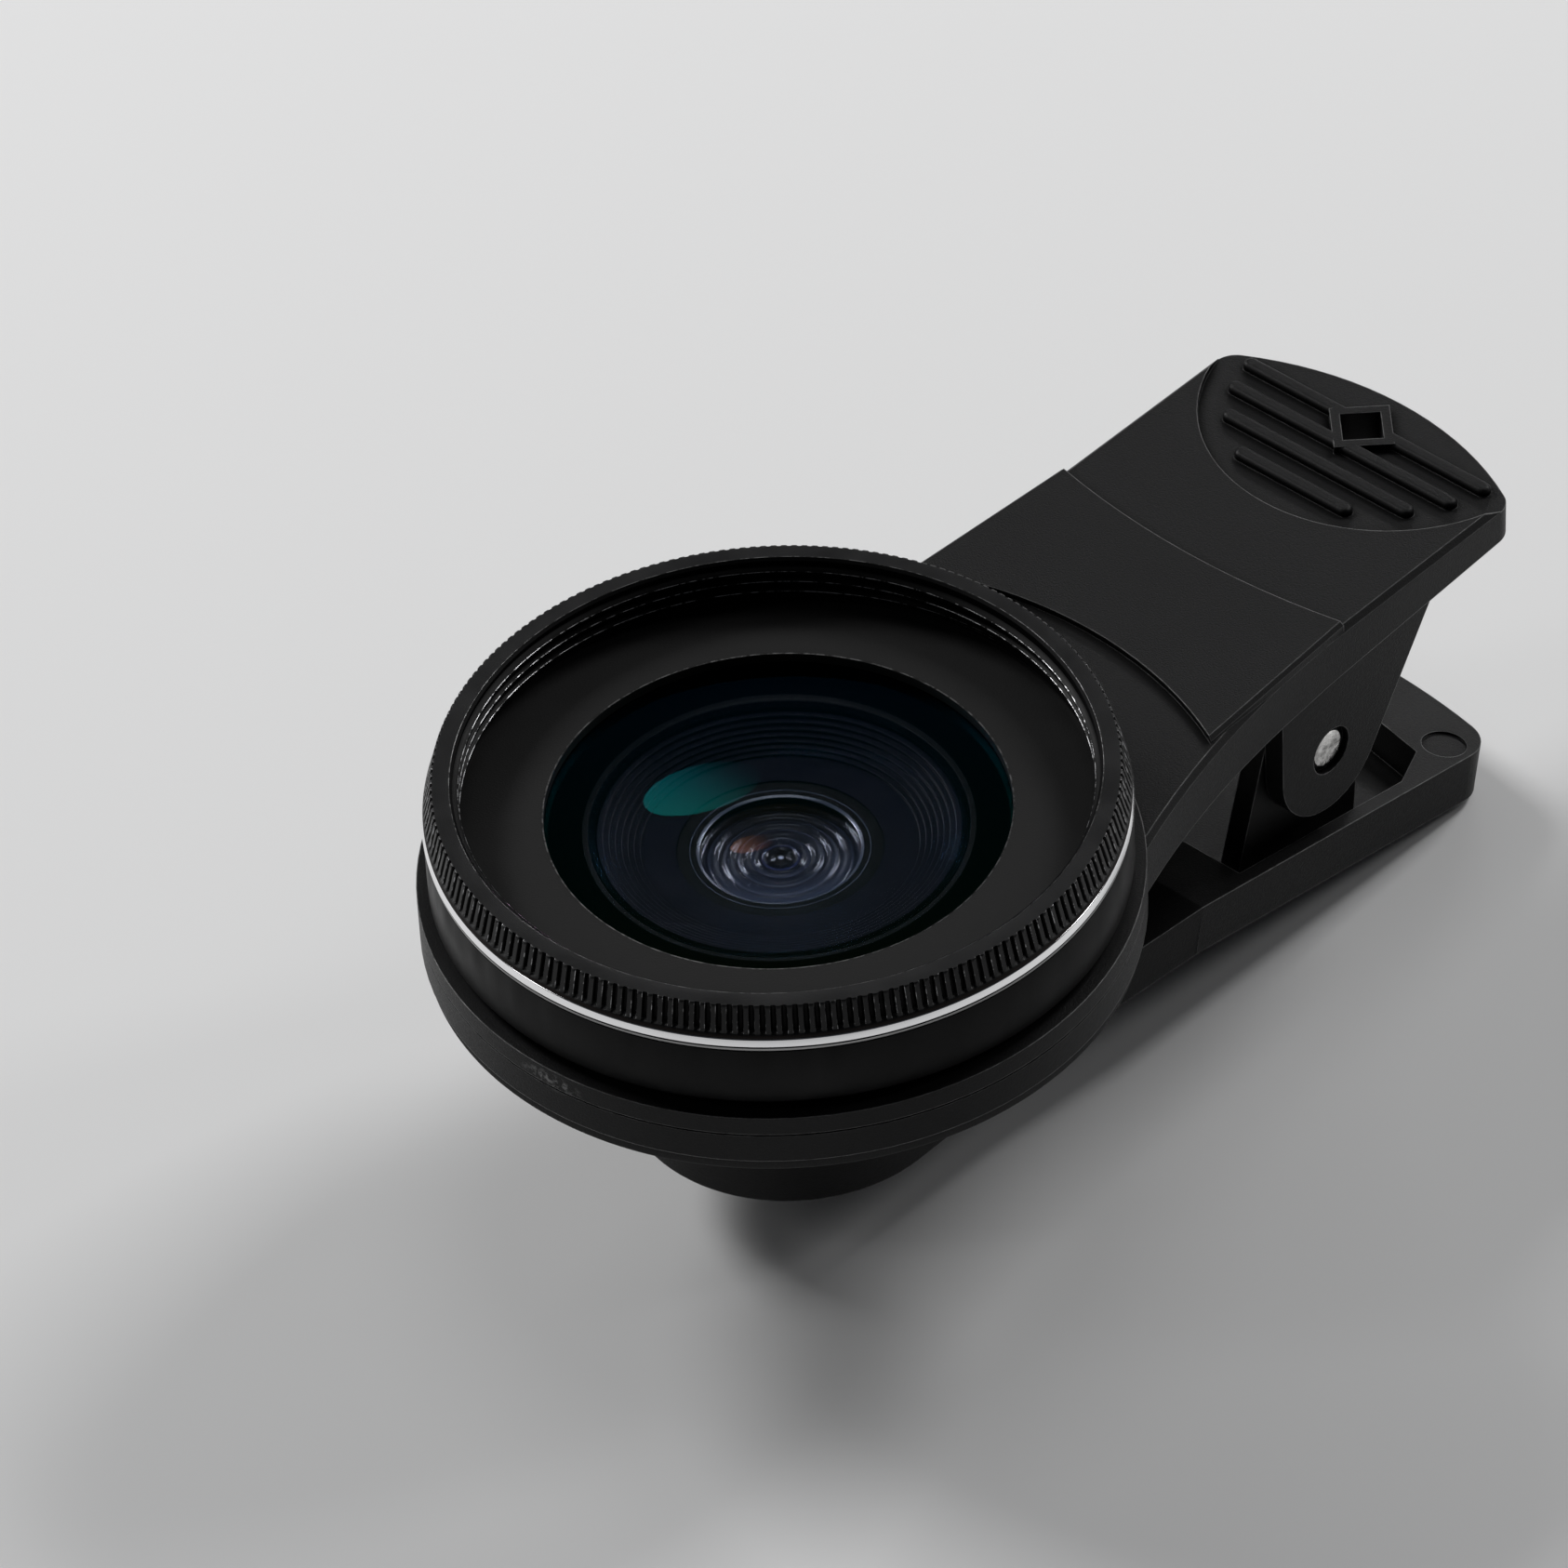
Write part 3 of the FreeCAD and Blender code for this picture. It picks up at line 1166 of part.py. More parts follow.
def make_spring():
    """A coil round the pin whose two straight legs push the handles apart.

    In the frame of this section X runs along the arm and Y runs down, so that the coil's axis is Z.
    """
    wire = number("wire_radius")
    coil = number("coil_radius")
    pitch = number("coil_pitch")
    reach = number("leg_reach")
    drop = number("pin_drop")
    slope = math.radians(number("handle_pitch"))
    stand = wire + number("leg_clearance")
    floor = number("tray_floor") + stand - number("handle_underside")
    across = reach * math.cos(slope) + floor * math.sin(slope)
    lower = (across, reach * math.sin(slope) - floor * math.cos(slope))
    upper = (reach, stand - (number("arm_top") - number("arm_plate") + drop))
    start = leg_start(lower, coil, 1)
    finish = leg_start(upper, coil, -1)
    turns = number("coil_turns") + (finish - start) / (2 * math.pi) % 1
    height = turns * pitch
    rise = pitch / (2 * math.pi * coil)
    helix = Part.makeHelix(pitch, height, coil)
    helix.rotate(FreeCAD.Vector(), FreeCAD.Vector(0, 0, 1), math.degrees(start))
    helix.translate(FreeCAD.Vector(0, 0, -height / 2))
    legs = []
    for angle, target, side in ((start, lower, -1), (finish, upper, 1)):
        near = FreeCAD.Vector(coil * math.cos(angle), coil * math.sin(angle), side * height / 2)
        length = math.sqrt(target[0] ** 2 + target[1] ** 2 - coil**2)
        far = FreeCAD.Vector(target[0], target[1], near.z + side * length * rise)
        legs.append((near, far))
    (lower_near, lower_far), (upper_near, upper_far) = legs
    lower_leg = Part.makeLine(lower_far, lower_near)
    upper_leg = Part.makeLine(upper_near, upper_far)
    path = Part.Wire([lower_leg] + helix.Edges + [upper_leg])
    section = Part.Wire([Part.makeCircle(wire, lower_far, lower_near - lower_far)])
    spring = doc.addObject("Part::Feature", "torsion_spring")
    spring.Label = "torsion_spring"
    spring.Shape = path.makePipeShell([section], True, False)
    turn = FreeCAD.Rotation(FreeCAD.Vector(1, 0, 0), -90)
    spring.Placement = FreeCAD.Placement(FreeCAD.Vector(number("pin_distance"), 0, -drop), turn)
    SUBPARTS.append(spring)


def check_document():
    """Stops if any object failed to compute, or a sub-part isn't a sound solid."""
    for item in doc.Objects:
        if "Invalid" in item.State or "Error" in item.State:
            raise RuntimeError(f"{item.Label} failed: {item.State}")
    for item in SUBPARTS:
        shape = item.Shape
        if shape.isNull() or not shape.isValid() or len(shape.Solids) != 1:
            raise RuntimeError(f"{item.Label} isn't one sound solid")


def write_subparts():
    os.makedirs("parts", exist_ok=True)
    for item in SUBPARTS:
        item.Shape.exportStep(f"parts/{item.Label}.step")
        box = item.Shape.BoundBox
        print(f"{item.Label}: {item.Shape.Volume:.1f} mm3, z {box.ZMin:.2f} to {box.ZMax:.2f}")


make_front_ring()
make_trim_ring()
make_barrel()
make_front_plate()
make_front_glass()
make_baffle()
make_mount_ring()
make_middle_glass()
make_rear_glass()
make_small_rings()
make_upper_lever()
make_socket_ring()
make_pads()
make_lower_lever()
make_pin()
make_spring()
doc.recompute()
check_document()
write_subparts()
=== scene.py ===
# %% [markdown]
# # Clip-on phone lens
# A wide lens in a sprung plastic clip. The CAD model brings every piece at its real size, and this
# file gives each surface its finish: black anodised metal, a bright turned ring, coated glass over
# a blue baffle, and grained black plastic. Each step says what the real piece is before it is made.

# %% Load the frame
import json
import math

import bpy
from mathutils import Matrix, Quaternion, Vector


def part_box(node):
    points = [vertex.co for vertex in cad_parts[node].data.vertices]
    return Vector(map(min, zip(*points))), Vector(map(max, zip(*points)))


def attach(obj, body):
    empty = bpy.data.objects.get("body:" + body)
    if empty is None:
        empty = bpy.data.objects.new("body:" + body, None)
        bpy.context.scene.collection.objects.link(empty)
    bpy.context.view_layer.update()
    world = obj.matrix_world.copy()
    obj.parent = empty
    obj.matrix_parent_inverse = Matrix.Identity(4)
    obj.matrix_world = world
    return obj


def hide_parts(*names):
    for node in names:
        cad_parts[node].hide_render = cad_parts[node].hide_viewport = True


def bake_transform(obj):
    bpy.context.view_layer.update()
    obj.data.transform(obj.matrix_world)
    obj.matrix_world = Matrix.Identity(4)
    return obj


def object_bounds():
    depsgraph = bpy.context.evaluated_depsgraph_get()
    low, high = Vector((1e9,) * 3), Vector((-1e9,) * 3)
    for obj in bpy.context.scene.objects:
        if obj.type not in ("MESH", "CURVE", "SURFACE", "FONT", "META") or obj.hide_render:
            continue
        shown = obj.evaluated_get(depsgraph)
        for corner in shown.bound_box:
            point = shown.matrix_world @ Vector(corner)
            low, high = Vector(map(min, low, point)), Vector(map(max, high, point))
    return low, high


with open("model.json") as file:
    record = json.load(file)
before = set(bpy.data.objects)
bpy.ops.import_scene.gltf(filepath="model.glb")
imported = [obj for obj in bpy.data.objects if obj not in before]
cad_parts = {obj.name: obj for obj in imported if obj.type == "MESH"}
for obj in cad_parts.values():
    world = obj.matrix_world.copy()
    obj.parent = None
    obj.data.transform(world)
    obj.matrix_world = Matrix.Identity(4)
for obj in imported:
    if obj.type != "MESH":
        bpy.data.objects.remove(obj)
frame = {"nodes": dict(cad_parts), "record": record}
cad_low, cad_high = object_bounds()
nodes = frame["nodes"]
MM = 0.001
PER_MM = 1000
FILTER_BORE = frame["record"]["mounts"][0]["dims"]["r_mm"]
print("pieces in the frame:", len(nodes))

# %% [markdown]
# ## Camera
# A long lens looks down on the front of the object from its corner, so the camera is set by the
# place of the lens axis in the picture, its distance and three angles. Blender's camera looks along
# its own -Z, so the rows of the view become the columns of its matrix, two of them turned round.

# %% Camera
CAMERA_AZIMUTH = math.radians(-45.1)
CAMERA_ELEVATION = math.radians(41.74)
CAMERA_ROLL = math.radians(-3.15)
CAMERA_DISTANCE = 548.52 * MM
AXIS_RIGHT_OF_CENTRE = 0.02 * MM
AXIS_BELOW_CENTRE = 7.89 * MM
PICTURE_SIDE = 1686
FOCAL_PIXELS = 10206
SENSOR_WIDTH = 36.0
NEAREST_SEEN = 0.05
FARTHEST_SEEN = 20


def make_camera():
    forward = Vector((
        -math.sin(CAMERA_AZIMUTH) * math.cos(CAMERA_ELEVATION),
        math.cos(CAMERA_AZIMUTH) * math.cos(CAMERA_ELEVATION),
        -math.sin(CAMERA_ELEVATION),
    ))
    level = Vector((math.cos(CAMERA_AZIMUTH), math.sin(CAMERA_AZIMUTH), 0))
    upright = level.cross(forward)
    right = level * math.cos(CAMERA_ROLL) + upright * math.sin(CAMERA_ROLL)
    up = right.cross(forward)
    place = up * AXIS_BELOW_CENTRE - right * AXIS_RIGHT_OF_CENTRE - forward * CAMERA_DISTANCE
    data = bpy.data.cameras.new("camera")
    data.sensor_width = SENSOR_WIDTH
    data.lens = FOCAL_PIXELS / PICTURE_SIDE * SENSOR_WIDTH
    data.clip_start, data.clip_end = NEAREST_SEEN, FARTHEST_SEEN
    camera = bpy.data.objects.new("camera", data)
    bpy.context.scene.collection.objects.link(camera)
    turn = Matrix((right, up, -forward)).transposed().to_4x4()
    camera.matrix_world = Matrix.Translation(place) @ turn
    bpy.context.scene.camera = camera
    return camera


camera = make_camera()
print("camera stands at", [round(value / MM) for value in camera.location], "mm")

# %% [markdown]
# ## Small tools for shaders
# Every finish is made of nodes that read the object's own coordinates, so that grain keeps its size
# on every piece. Patterns are given in repeats a millimetre, and depths in millimetres.

# %% Shader tools
FULL = (0.0, 1.0)
NOISE_SPAN = (0.3, 0.7)
EDGE_SAMPLES = 6
# A crease is where little open air lies within reach, and gets painted shade. An edge is where the
# rounded normal turns away from the real one, by the cosine of the angle between them.
CREASE_REACH = 0.9
CREASE_OPENNESS = (0.4, 0.95)
EDGE_COSINES = (0.985, 0.86)


def put(socket, value):
    """Sets a socket to a number or a colour, or links the output of another node to it."""
    if isinstance(value, bpy.types.NodeSocket):
        socket.id_data.links.new(value, socket)
    elif socket.type == "RGBA":
        socket.default_value = (*value, 1)
    else:
        socket.default_value = value


def fill(node, values):
    """Puts values to sockets of a node, which are named or numbered."""
    for socket, value in values.items():
        put(node.inputs[socket], value)


def add_node(tree, kind, values=None):
    node = tree.nodes.new("ShaderNode" + kind)
    fill(node, values or {})
    return node


def new_material(name, colour, roughness, metallic=0.0, sheen=0.5):
    material = bpy.data.materials.new(name)
    material.use_nodes = True
    tree = material.node_tree
    shader = tree.nodes["Principled BSDF"]
    fill(shader, {
        "Base Color": colour,
        "Roughness": roughness,
        "Metallic": metallic,
        "Specular IOR Level": sheen,
    })
    return material, tree, shader


def scaled(colour, share):
    return tuple(value * share for value in colour)


def math_node(tree, operation, *values):
    node = add_node(tree, "Math", dict(enumerate(values)))
    node.operation = operation
    return node.outputs[0]


def times(tree, first, second):
    return math_node(tree, "MULTIPLY", first, second)


def vector_node(tree, operation, first, second):
    node = add_node(tree, "VectorMath", {0: first, 1: second})
    node.operation = operation
    return node


def spread(tree, value, span, result, smooth=False):
    """Maps a value from one span to another and stops at its ends."""
    node = add_node(tree, "MapRange", {
        "Value": value,
        "From Min": span[0],
        "From Max": span[1],
        "To Min": result[0],
        "To Max": result[1],
    })
    if smooth:
        node.interpolation_type = "SMOOTHSTEP"
    return node.outputs["Result"]


def mix_colours(tree, share, first, second):
    """The first colour where share is 0, and the second where it is 1."""
    node = add_node(tree, "Mix")
    node.data_type = "RGBA"
    sockets = {(item.name, item.type): item for item in node.inputs}
    put(sockets["Factor", "VALUE"], share)
    put(sockets["A", "RGBA"], first)
    put(sockets["B", "RGBA"], second)
    return [item for item in node.outputs if item.type == "RGBA"][0]


def place_of(tree):
    return add_node(tree, "TexCoord").outputs["Object"]


def split_place(tree):
    return add_node(tree, "SeparateXYZ", {0: place_of(tree)}).outputs


def radius_of(tree):
    """Distance from the lens axis, in millimetres."""
    place = split_place(tree)
    across = times(tree, place["X"], place["X"])
    along = math_node(tree, "MULTIPLY_ADD", place["Y"], place["Y"], across)
    return times(tree, math_node(tree, "SQRT", along), PER_MM)


def height_of(tree):
    """Height above the ring pad's face, in millimetres."""
    return times(tree, split_place(tree)["Z"], PER_MM)


def noise(tree, per_mm, detail=2.0, roughness=0.5, stretch=None):
    """Noise of so many cells a millimetre. stretch squeezes it along X, Y and Z."""
    place = place_of(tree)
    if stretch:
        place = add_node(tree, "Mapping", {"Vector": place, "Scale": stretch}).outputs[0]
    return add_node(tree, "TexNoise", {
        "Vector": place,
        "Scale": per_mm * PER_MM,
        "Detail": detail,
        "Roughness": roughness,
    }).outputs["Fac"]


def rounded_edges(tree, radius):
    """Normal with every edge rounded, how much of an edge a place is, and how open it stands."""
    bevel = add_node(tree, "Bevel", {"Radius": radius * MM})
    bevel.samples = EDGE_SAMPLES
    plain = add_node(tree, "NewGeometry").outputs["Normal"]
    alike = vector_node(tree, "DOT_PRODUCT", bevel.outputs[0], plain).outputs["Value"]
    shade = add_node(tree, "AmbientOcclusion", {"Distance": CREASE_REACH * MM})
    shade.samples = EDGE_SAMPLES
    shade.only_local = True
    air = spread(tree, shade.outputs["AO"], CREASE_OPENNESS, FULL)
    turned = spread(tree, alike, EDGE_COSINES, FULL)
    return bevel.outputs[0], times(tree, turned, air), air


def add_bump(tree, shader, pattern, depth, before=None):
    """Bump of a real depth in millimetres. before is a normal that it adds to."""
    node = add_node(tree, "Bump", {"Height": pattern, "Distance": depth * MM})
    if before:
        fill(node, {"Normal": before})
    fill(shader, {"Normal": node.outputs[0]})
    return node.outputs[0]


# %% [markdown]
# ## Floor and light
# A pale floor stands where the lowest edge of the clip touches. Black pieces are read by what they
# mirror, so the studio is a few large soft lamps behind it, and weak ones at its sides. A small
# lamp behind, which fades to one side, draws the teal patch on the coated glass.

# %% Floor and light
FLOOR_SIZE = 6.0
FLOOR_COLOUR = (0.80, 0.80, 0.80)
FLOOR_ROUGHNESS = 0.9
AIR_COLOUR = (0.80, 0.84, 0.92)
AIR_STRENGTH = 0.03
# Name, shape, azimuth and elevation in degrees, distance, width and height in metres, and watts.
LAMPS = [
    ("back_left_lamp", "RECTANGLE", 184, 36, 0.80, 0.30, 0.20, 3.9),
    ("back_right_lamp", "RECTANGLE", 88, 38, 0.80, 0.26, 0.20, 2.4),
    ("low_back_lamp", "RECTANGLE", 125, 18, 0.90, 0.34, 0.07, 0.6),
    ("high_lamp", "ELLIPSE", 135, 75, 0.85, 0.36, 0.36, 0.5),
    ("right_lamp", "RECTANGLE", 58, 34, 0.80, 0.12, 0.26, 0.6),
    ("left_lamp", "RECTANGLE", -128, 30, 0.80, 0.12, 0.30, 0.4),
]
TEAL_LAMP = ("behind_lamp", "ELLIPSE", 140.2, 39.6, 0.80, 0.095, 0.07, 0.0095)
TEAL_LAMP_ROLL = 28
TEAL_LAMP_FADE = (0.05, 2.0)


def make_floor():
    bpy.ops.mesh.primitive_plane_add(size=FLOOR_SIZE, location=(0, 0, cad_low.z))
    floor = bpy.context.object
    floor.name = "studio_floor"
    floor.data.materials.append(new_material("floor_paper", FLOOR_COLOUR, FLOOR_ROUGHNESS)[0])
    return floor


def make_lamp(name, shape, azimuth, elevation, distance, width, height, watts):
    """A soft lamp that faces the lens. Azimuth 0 stands on the -Y side."""
    turn = math.radians(azimuth)
    rise = math.radians(elevation)
    place = Vector((
        math.sin(turn) * math.cos(rise),
        -math.cos(turn) * math.cos(rise),
        math.sin(rise),
    )) * distance
    data = bpy.data.lights.new(name, "AREA")
    data.shape = shape
    data.size, data.size_y = width, height
    data.energy = watts
    lamp = bpy.data.objects.new(name, data)
    bpy.context.scene.collection.objects.link(lamp)
    lamp.location = place
    lamp.rotation_mode = "QUATERNION"
    lamp.rotation_quaternion = place.to_track_quat("Z", "Y")
    return lamp


def fade(lamp, strengths):
    """The lamp is dim at one end and bright at the other, as a window beside a wall is."""
    lamp.data.use_nodes = True
    tree = lamp.data.node_tree
    across = add_node(tree, "NewGeometry").outputs["Parametric"]
    share = add_node(tree, "SeparateXYZ", {0: across}).outputs["X"]
    strength = spread(tree, share, FULL, strengths, smooth=True)
    fill(tree.nodes["Emission"], {"Strength": strength})


def make_world():
    world = bpy.data.worlds.new("studio_air")
    bpy.context.scene.world = world
    world.use_nodes = True
    fill(world.node_tree.nodes["Background"], {"Color": AIR_COLOUR, "Strength": AIR_STRENGTH})


make_floor()
make_world()
for lamp in LAMPS:
    make_lamp(*lamp)
teal_lamp = make_lamp(*TEAL_LAMP)
teal_lamp.rotation_quaternion @= Quaternion((0, 0, 1), math.radians(TEAL_LAMP_ROLL))
fade(teal_lamp, TEAL_LAMP_FADE)
bpy.context.scene.view_settings.view_transform = "Standard"

# %% [markdown]
# ## Black anodised metal
# Blasted aluminium that is dyed black: matte, a little warm, with a grain far finer than a
# millimetre. Dust and handling leave faint clouds in its gloss.

# %% Black anodised metal
DUST_CLOUDS = 0.35
DUST_DARKENING = 0.75
DUST_GLOSS = 0.05
BLAST_GRAIN = 9
TURNING_LINES = 60.0
FLAT_BLACK = (0.0004, 0.0004, 0.0005)
INSIDE_BLEND = 0.05


def make_anodised(
    name, colour, roughness, grain, sheen=0.3, turning=0.0, inside=0.0, metallic=0.0
):
    """Nearer to the lens axis than inside, in millimetres, the metal is flat black."""
    material, tree, shader = new_material(name, colour, roughness, metallic, sheen)
    clouds = noise(tree, DUST_CLOUDS, detail=3)
    face = mix_colours(tree, clouds, scaled(colour, DUST_DARKENING), colour)
    if inside:
        border = (inside - INSIDE_BLEND, inside + INSIDE_BLEND)
        outer = spread(tree, radius_of(tree), border, FULL)
        face = mix_colours(tree, outer, FLAT_BLACK, face)
        fill(shader, {"Specular IOR Level": times(tree, outer, sheen)})
    gloss = spread(tree, clouds, NOISE_SPAN, (roughness - DUST_GLOSS, roughness + DUST_GLOSS))
    fill(shader, {"Base Color": face, "Roughness": gloss})
    normal = add_bump(tree, shader, noise(tree, BLAST_GRAIN), grain)
    if turning:
        place = math_node(tree, "ADD", radius_of(tree), height_of(tree))
        lines = math_node(tree, "SINE", times(tree, place, TURNING_LINES))
        add_bump(tree, shader, lines, turning, before=normal)
    return material


BARREL_BLACK = make_anodised(
    "barrel_black", (0.0028, 0.0028, 0.003), roughness=0.42, grain=0.006, sheen=0.13, inside=18.0
)
RING_BLACK = make_anodised(
    "ring_black", (0.0065, 0.0065, 0.007), roughness=0.38, grain=0.004, turning=0.0006
)
PLATE_BLACK = make_anodised(
    "plate_black", (0.010, 0.010, 0.010), roughness=0.62, grain=0.012, sheen=0.16
)
INNER_BLACK = make_anodised(
    "inner_black", (0.0008, 0.0008, 0.0010), roughness=0.6, grain=0.003, sheen=0.03
)
GROOVE_BLACK = make_anodised(
    "groove_black", (0.004, 0.004, 0.004), roughness=0.7, grain=0.002, sheen=0.1
)
FOOT_BROWN = make_anodised(
    "foot_brown", (0.010, 0.0065, 0.0055), roughness=0.55, grain=0.003, sheen=0.15
)
# A darker copy of the ring's black: painted shade on the thread, the bore and the deep knurl
# grooves.
PAINTED_SHADE_BLACK = make_anodised(
    "thread_black", (0.0028, 0.0028, 0.0030), roughness=0.45, grain=0.002, sheen=0.07
)
EDGE_PAINT = make_anodised(
    "lens_edge_paint", (0.0005, 0.0005, 0.0007), roughness=0.8, grain=0.001, sheen=0.0
)
BAFFLE_BLUE = make_anodised(
    "baffle_blue", (0.0017, 0.0017, 0.0038), roughness=0.34, grain=0.002, sheen=0.05
)
# Glossy and blue-tinted: a painted reflection on two thin edges of the small lens's ring.
BLUE_EDGE_PAINTED_REFLECTION = make_anodised(
    "bore_edge", (0.035, 0.045, 0.065), roughness=0.2, grain=0.002, sheen=0.9, metallic=0.4
)

# %% [markdown]
# ## Bright metal
# The trim ring is turned with a sharp tool, which leaves lines too fine to see one by one. They
# only pull its highlights out sideways. Worn edges are the same metal under thin black.

# %% Bright metal
TOOL_STREAKS = 14
STREAK_STRETCH = (0.02, 0.02, 1.0)
STREAK_GLOSS = (0.7, 1.4)
TOOL_LINES = 95.0
TOOL_LINE_DEPTH = 0.0004
WEAR_SPOTS = 1.6
WEAR_BLEND = 0.06
ROUGH_NOISE = 0.7


def make_turned_aluminium(name, colour, roughness):
    material, tree, shader = new_material(name, colour, roughness, metallic=1.0)
    streaks = noise(tree, TOOL_STREAKS, stretch=STREAK_STRETCH)
    gloss = spread(tree, streaks, NOISE_SPAN, scaled(STREAK_GLOSS, roughness))
    fill(shader, {"Roughness": gloss})
    lines = math_node(tree, "SINE", times(tree, height_of(tree), TOOL_LINES))
    add_bump(tree, shader, lines, TOOL_LINE_DEPTH)
    return material


def make_worn_edge(name, bright, dull, roughness, share):
    """Metal that shows along an edge, with black left in spots."""
    material, tree, shader = new_material(name, bright, roughness, metallic=1.0)
    spots = noise(tree, WEAR_SPOTS, detail=4, roughness=ROUGH_NOISE)
    worn = spread(tree, spots, (share - WEAR_BLEND, share + WEAR_BLEND), (1.0, 0.0))
    fill(shader, {"Base Color": mix_colours(tree, worn, dull, bright)})
    return material


BRIGHT_RING = make_turned_aluminium("bright_ring", (0.97, 0.97, 0.98), roughness=0.11)
DULL_LAND = make_turned_aluminium("dull_land", (0.30, 0.30, 0.30), roughness=0.30)
EDGE_METAL = make_worn_edge(
    "edge_metal", (0.15, 0.15, 0.15), (0.03, 0.03, 0.03), roughness=0.36, share=0.5
)
TOOTH_EDGE = make_worn_edge(
    "tooth_edge", (0.42, 0.42, 0.43), (0.04, 0.04, 0.04), roughness=0.32, share=0.42
)
THREAD_EDGE = make_worn_edge(
    "thread_edge", (0.48, 0.48, 0.49), (0.02, 0.02, 0.02), roughness=0.32, share=0.49
)

# %% [markdown]
# ## Glass
# Real glass bends the light, and its coating mirrors a colour that depends on the angle. Blender's
# thin film does that. Lamps can't find a way through refracting glass, so rays that ask for a
# lamp pass straight through by a transparent shader.

# %% Glass
GLASS_INDEX = 1.52
FILM_INDEX = 1.25
MIRROR_ROUGHNESS = 0.08
HAZE_ROUGHNESS = 0.16
HAZE_SHEEN = 0.35
HAZE_SWELL = 6.6
HAZE_SWELL_DEPTH = 0.045
PAINTED_NEAR_LIGHT_SPAN = (-4.5, 4.0)
PAINTED_NEAR_LIGHT = (0.22, 1.0)
BLACK_COLOUR = (0.0, 0.0, 0.0)
# Radius in millimetres and colour of the rings that show in the small lens, from its middle out.
# The rings and the bright spot at the middle are painted reflections.
PAINTED_REFLECTION_RINGS = [
    (0.00, (0.5, 0.52, 0.6)),
    (0.2, (0.001, 0.001, 0.0018)),
    (0.9, (0.0012, 0.0013, 0.0026)),
    (1.05, (0.012, 0.016, 0.04)),
    (1.25, (0.003, 0.0035, 0.007)),
    (1.70, (0.02, 0.023, 0.035)),
    (1.85, (0.007, 0.008, 0.012)),
    (2.40, (0.011, 0.013, 0.02)),
    (2.50, (0.03, 0.035, 0.05)),
    (2.60, (0.009, 0.01, 0.015)),
    (3.20, (0.016, 0.019, 0.029)),
    (3.30, (0.038, 0.044, 0.062)),
    (3.42, (0.013, 0.015, 0.022)),
    (4.10, (0.022, 0.026, 0.038)),
    (4.22, (0.05, 0.06, 0.085)),
    (4.35, (0.014, 0.016, 0.024)),
    (5.00, (0.03, 0.038, 0.056)),
]


def mix_shaders(tree, share, first, second):
    return add_node(tree, "MixShader", {0: share, 1: first, 2: second}).outputs[0]


def let_lamps_through(tree, surface, tint):
    """Rays that look for a lamp go straight through the surface and take only its tint."""
    clear = add_node(tree, "BsdfTransparent", {"Color": tint}).outputs[0]
    asking = add_node(tree, "LightPath").outputs["Is Shadow Ray"]
    mixed = mix_shaders(tree, asking, surface, clear)
    fill(tree.nodes["Material Output"], {"Surface": mixed})


def make_glass(name, tint, film):
    """Glass under a coating whose thickness, in nanometres, sets the colour that it mirrors."""
    material, tree, shader = new_material(name, tint, 0.0)
    fill(shader, {
        "Transmission Weight": 1.0,
        "IOR": GLASS_INDEX,
        "Thin Film Thickness": film,
        "Thin Film IOR": FILM_INDEX,
    })
    let_lamps_through(tree, shader.outputs[0], tint)
    return material


def make_well_coated(name, tint, mirrored, share):
    """Glass that lets nearly all light through and mirrors a small share of it in one colour."""
    material, tree, shader = new_material(name, tint, 0.0)
    tree.nodes.remove(shader)
    bend = add_node(tree, "BsdfRefraction", {"Color": tint, "IOR": GLASS_INDEX, "Roughness": 0.0})
    mirror = add_node(tree, "BsdfAnisotropic", {"Color": mirrored, "Roughness": MIRROR_ROUGHNESS})
    coated = mix_shaders(tree, share, bend.outputs[0], mirror.outputs[0])
    let_lamps_through(tree, coated, tint)
    return material


def make_painted_ring_reflections(name, rings):
    """Dark coated lens back: painted ring reflections, and painted light on the near side."""
    material, tree, shader = new_material(name, rings[-1][1], HAZE_ROUGHNESS, sheen=HAZE_SHEEN)
    radius = radius_of(tree)
    swell = math_node(tree, "SINE", times(tree, radius, HAZE_SWELL))
    add_bump(tree, shader, swell, HAZE_SWELL_DEPTH)
    colour = rings[0][1]
    for (near, _), (far, following) in zip(rings, rings[1:]):
        share = spread(tree, radius, (near, far), FULL)
        colour = mix_colours(tree, share, colour, following)
    # Painted light: the rings are brightest towards -X and -Y and darken towards black away from
    # there.
    place = split_place(tree)
    across = math_node(tree, "ADD", place["X"], place["Y"])
    lit = spread(tree, times(tree, across, -PER_MM), PAINTED_NEAR_LIGHT_SPAN, PAINTED_NEAR_LIGHT)
    fill(shader, {"Base Color": mix_colours(tree, lit, BLACK_COLOUR, colour)})
    return material


FRONT_GLASS = make_glass("front_coated_glass", (0.94, 0.97, 1.0), film=491)
SMALL_GLASS = make_glass("small_coated_glass", (0.90, 0.93, 1.0), film=350)
REAR_GLASS = make_glass("rear_coated_glass", (0.55, 0.58, 0.66), film=300)
HOLLOW_GLASS = make_well_coated(
    "hollow_coated_glass", (0.95, 0.97, 1.0), mirrored=(0.3, 0.6, 1.0), share=0.002
)
PAINTED_RING_REFLECTIONS = make_painted_ring_reflections("ring_haze", PAINTED_REFLECTION_RINGS)

# %% [markdown]
# ## Moulded black plastic
# The clip is moulded in a spark-eroded tool, which prints a fine random grain on it. Its edges have
# a small round, which is painted lighter and glossier: partly as hands and pockets rub it, partly
# as painted highlight. Its creases are painted darker and lose their sheen, as painted shade. One
# small field of scuffs lies on the side of the ring.

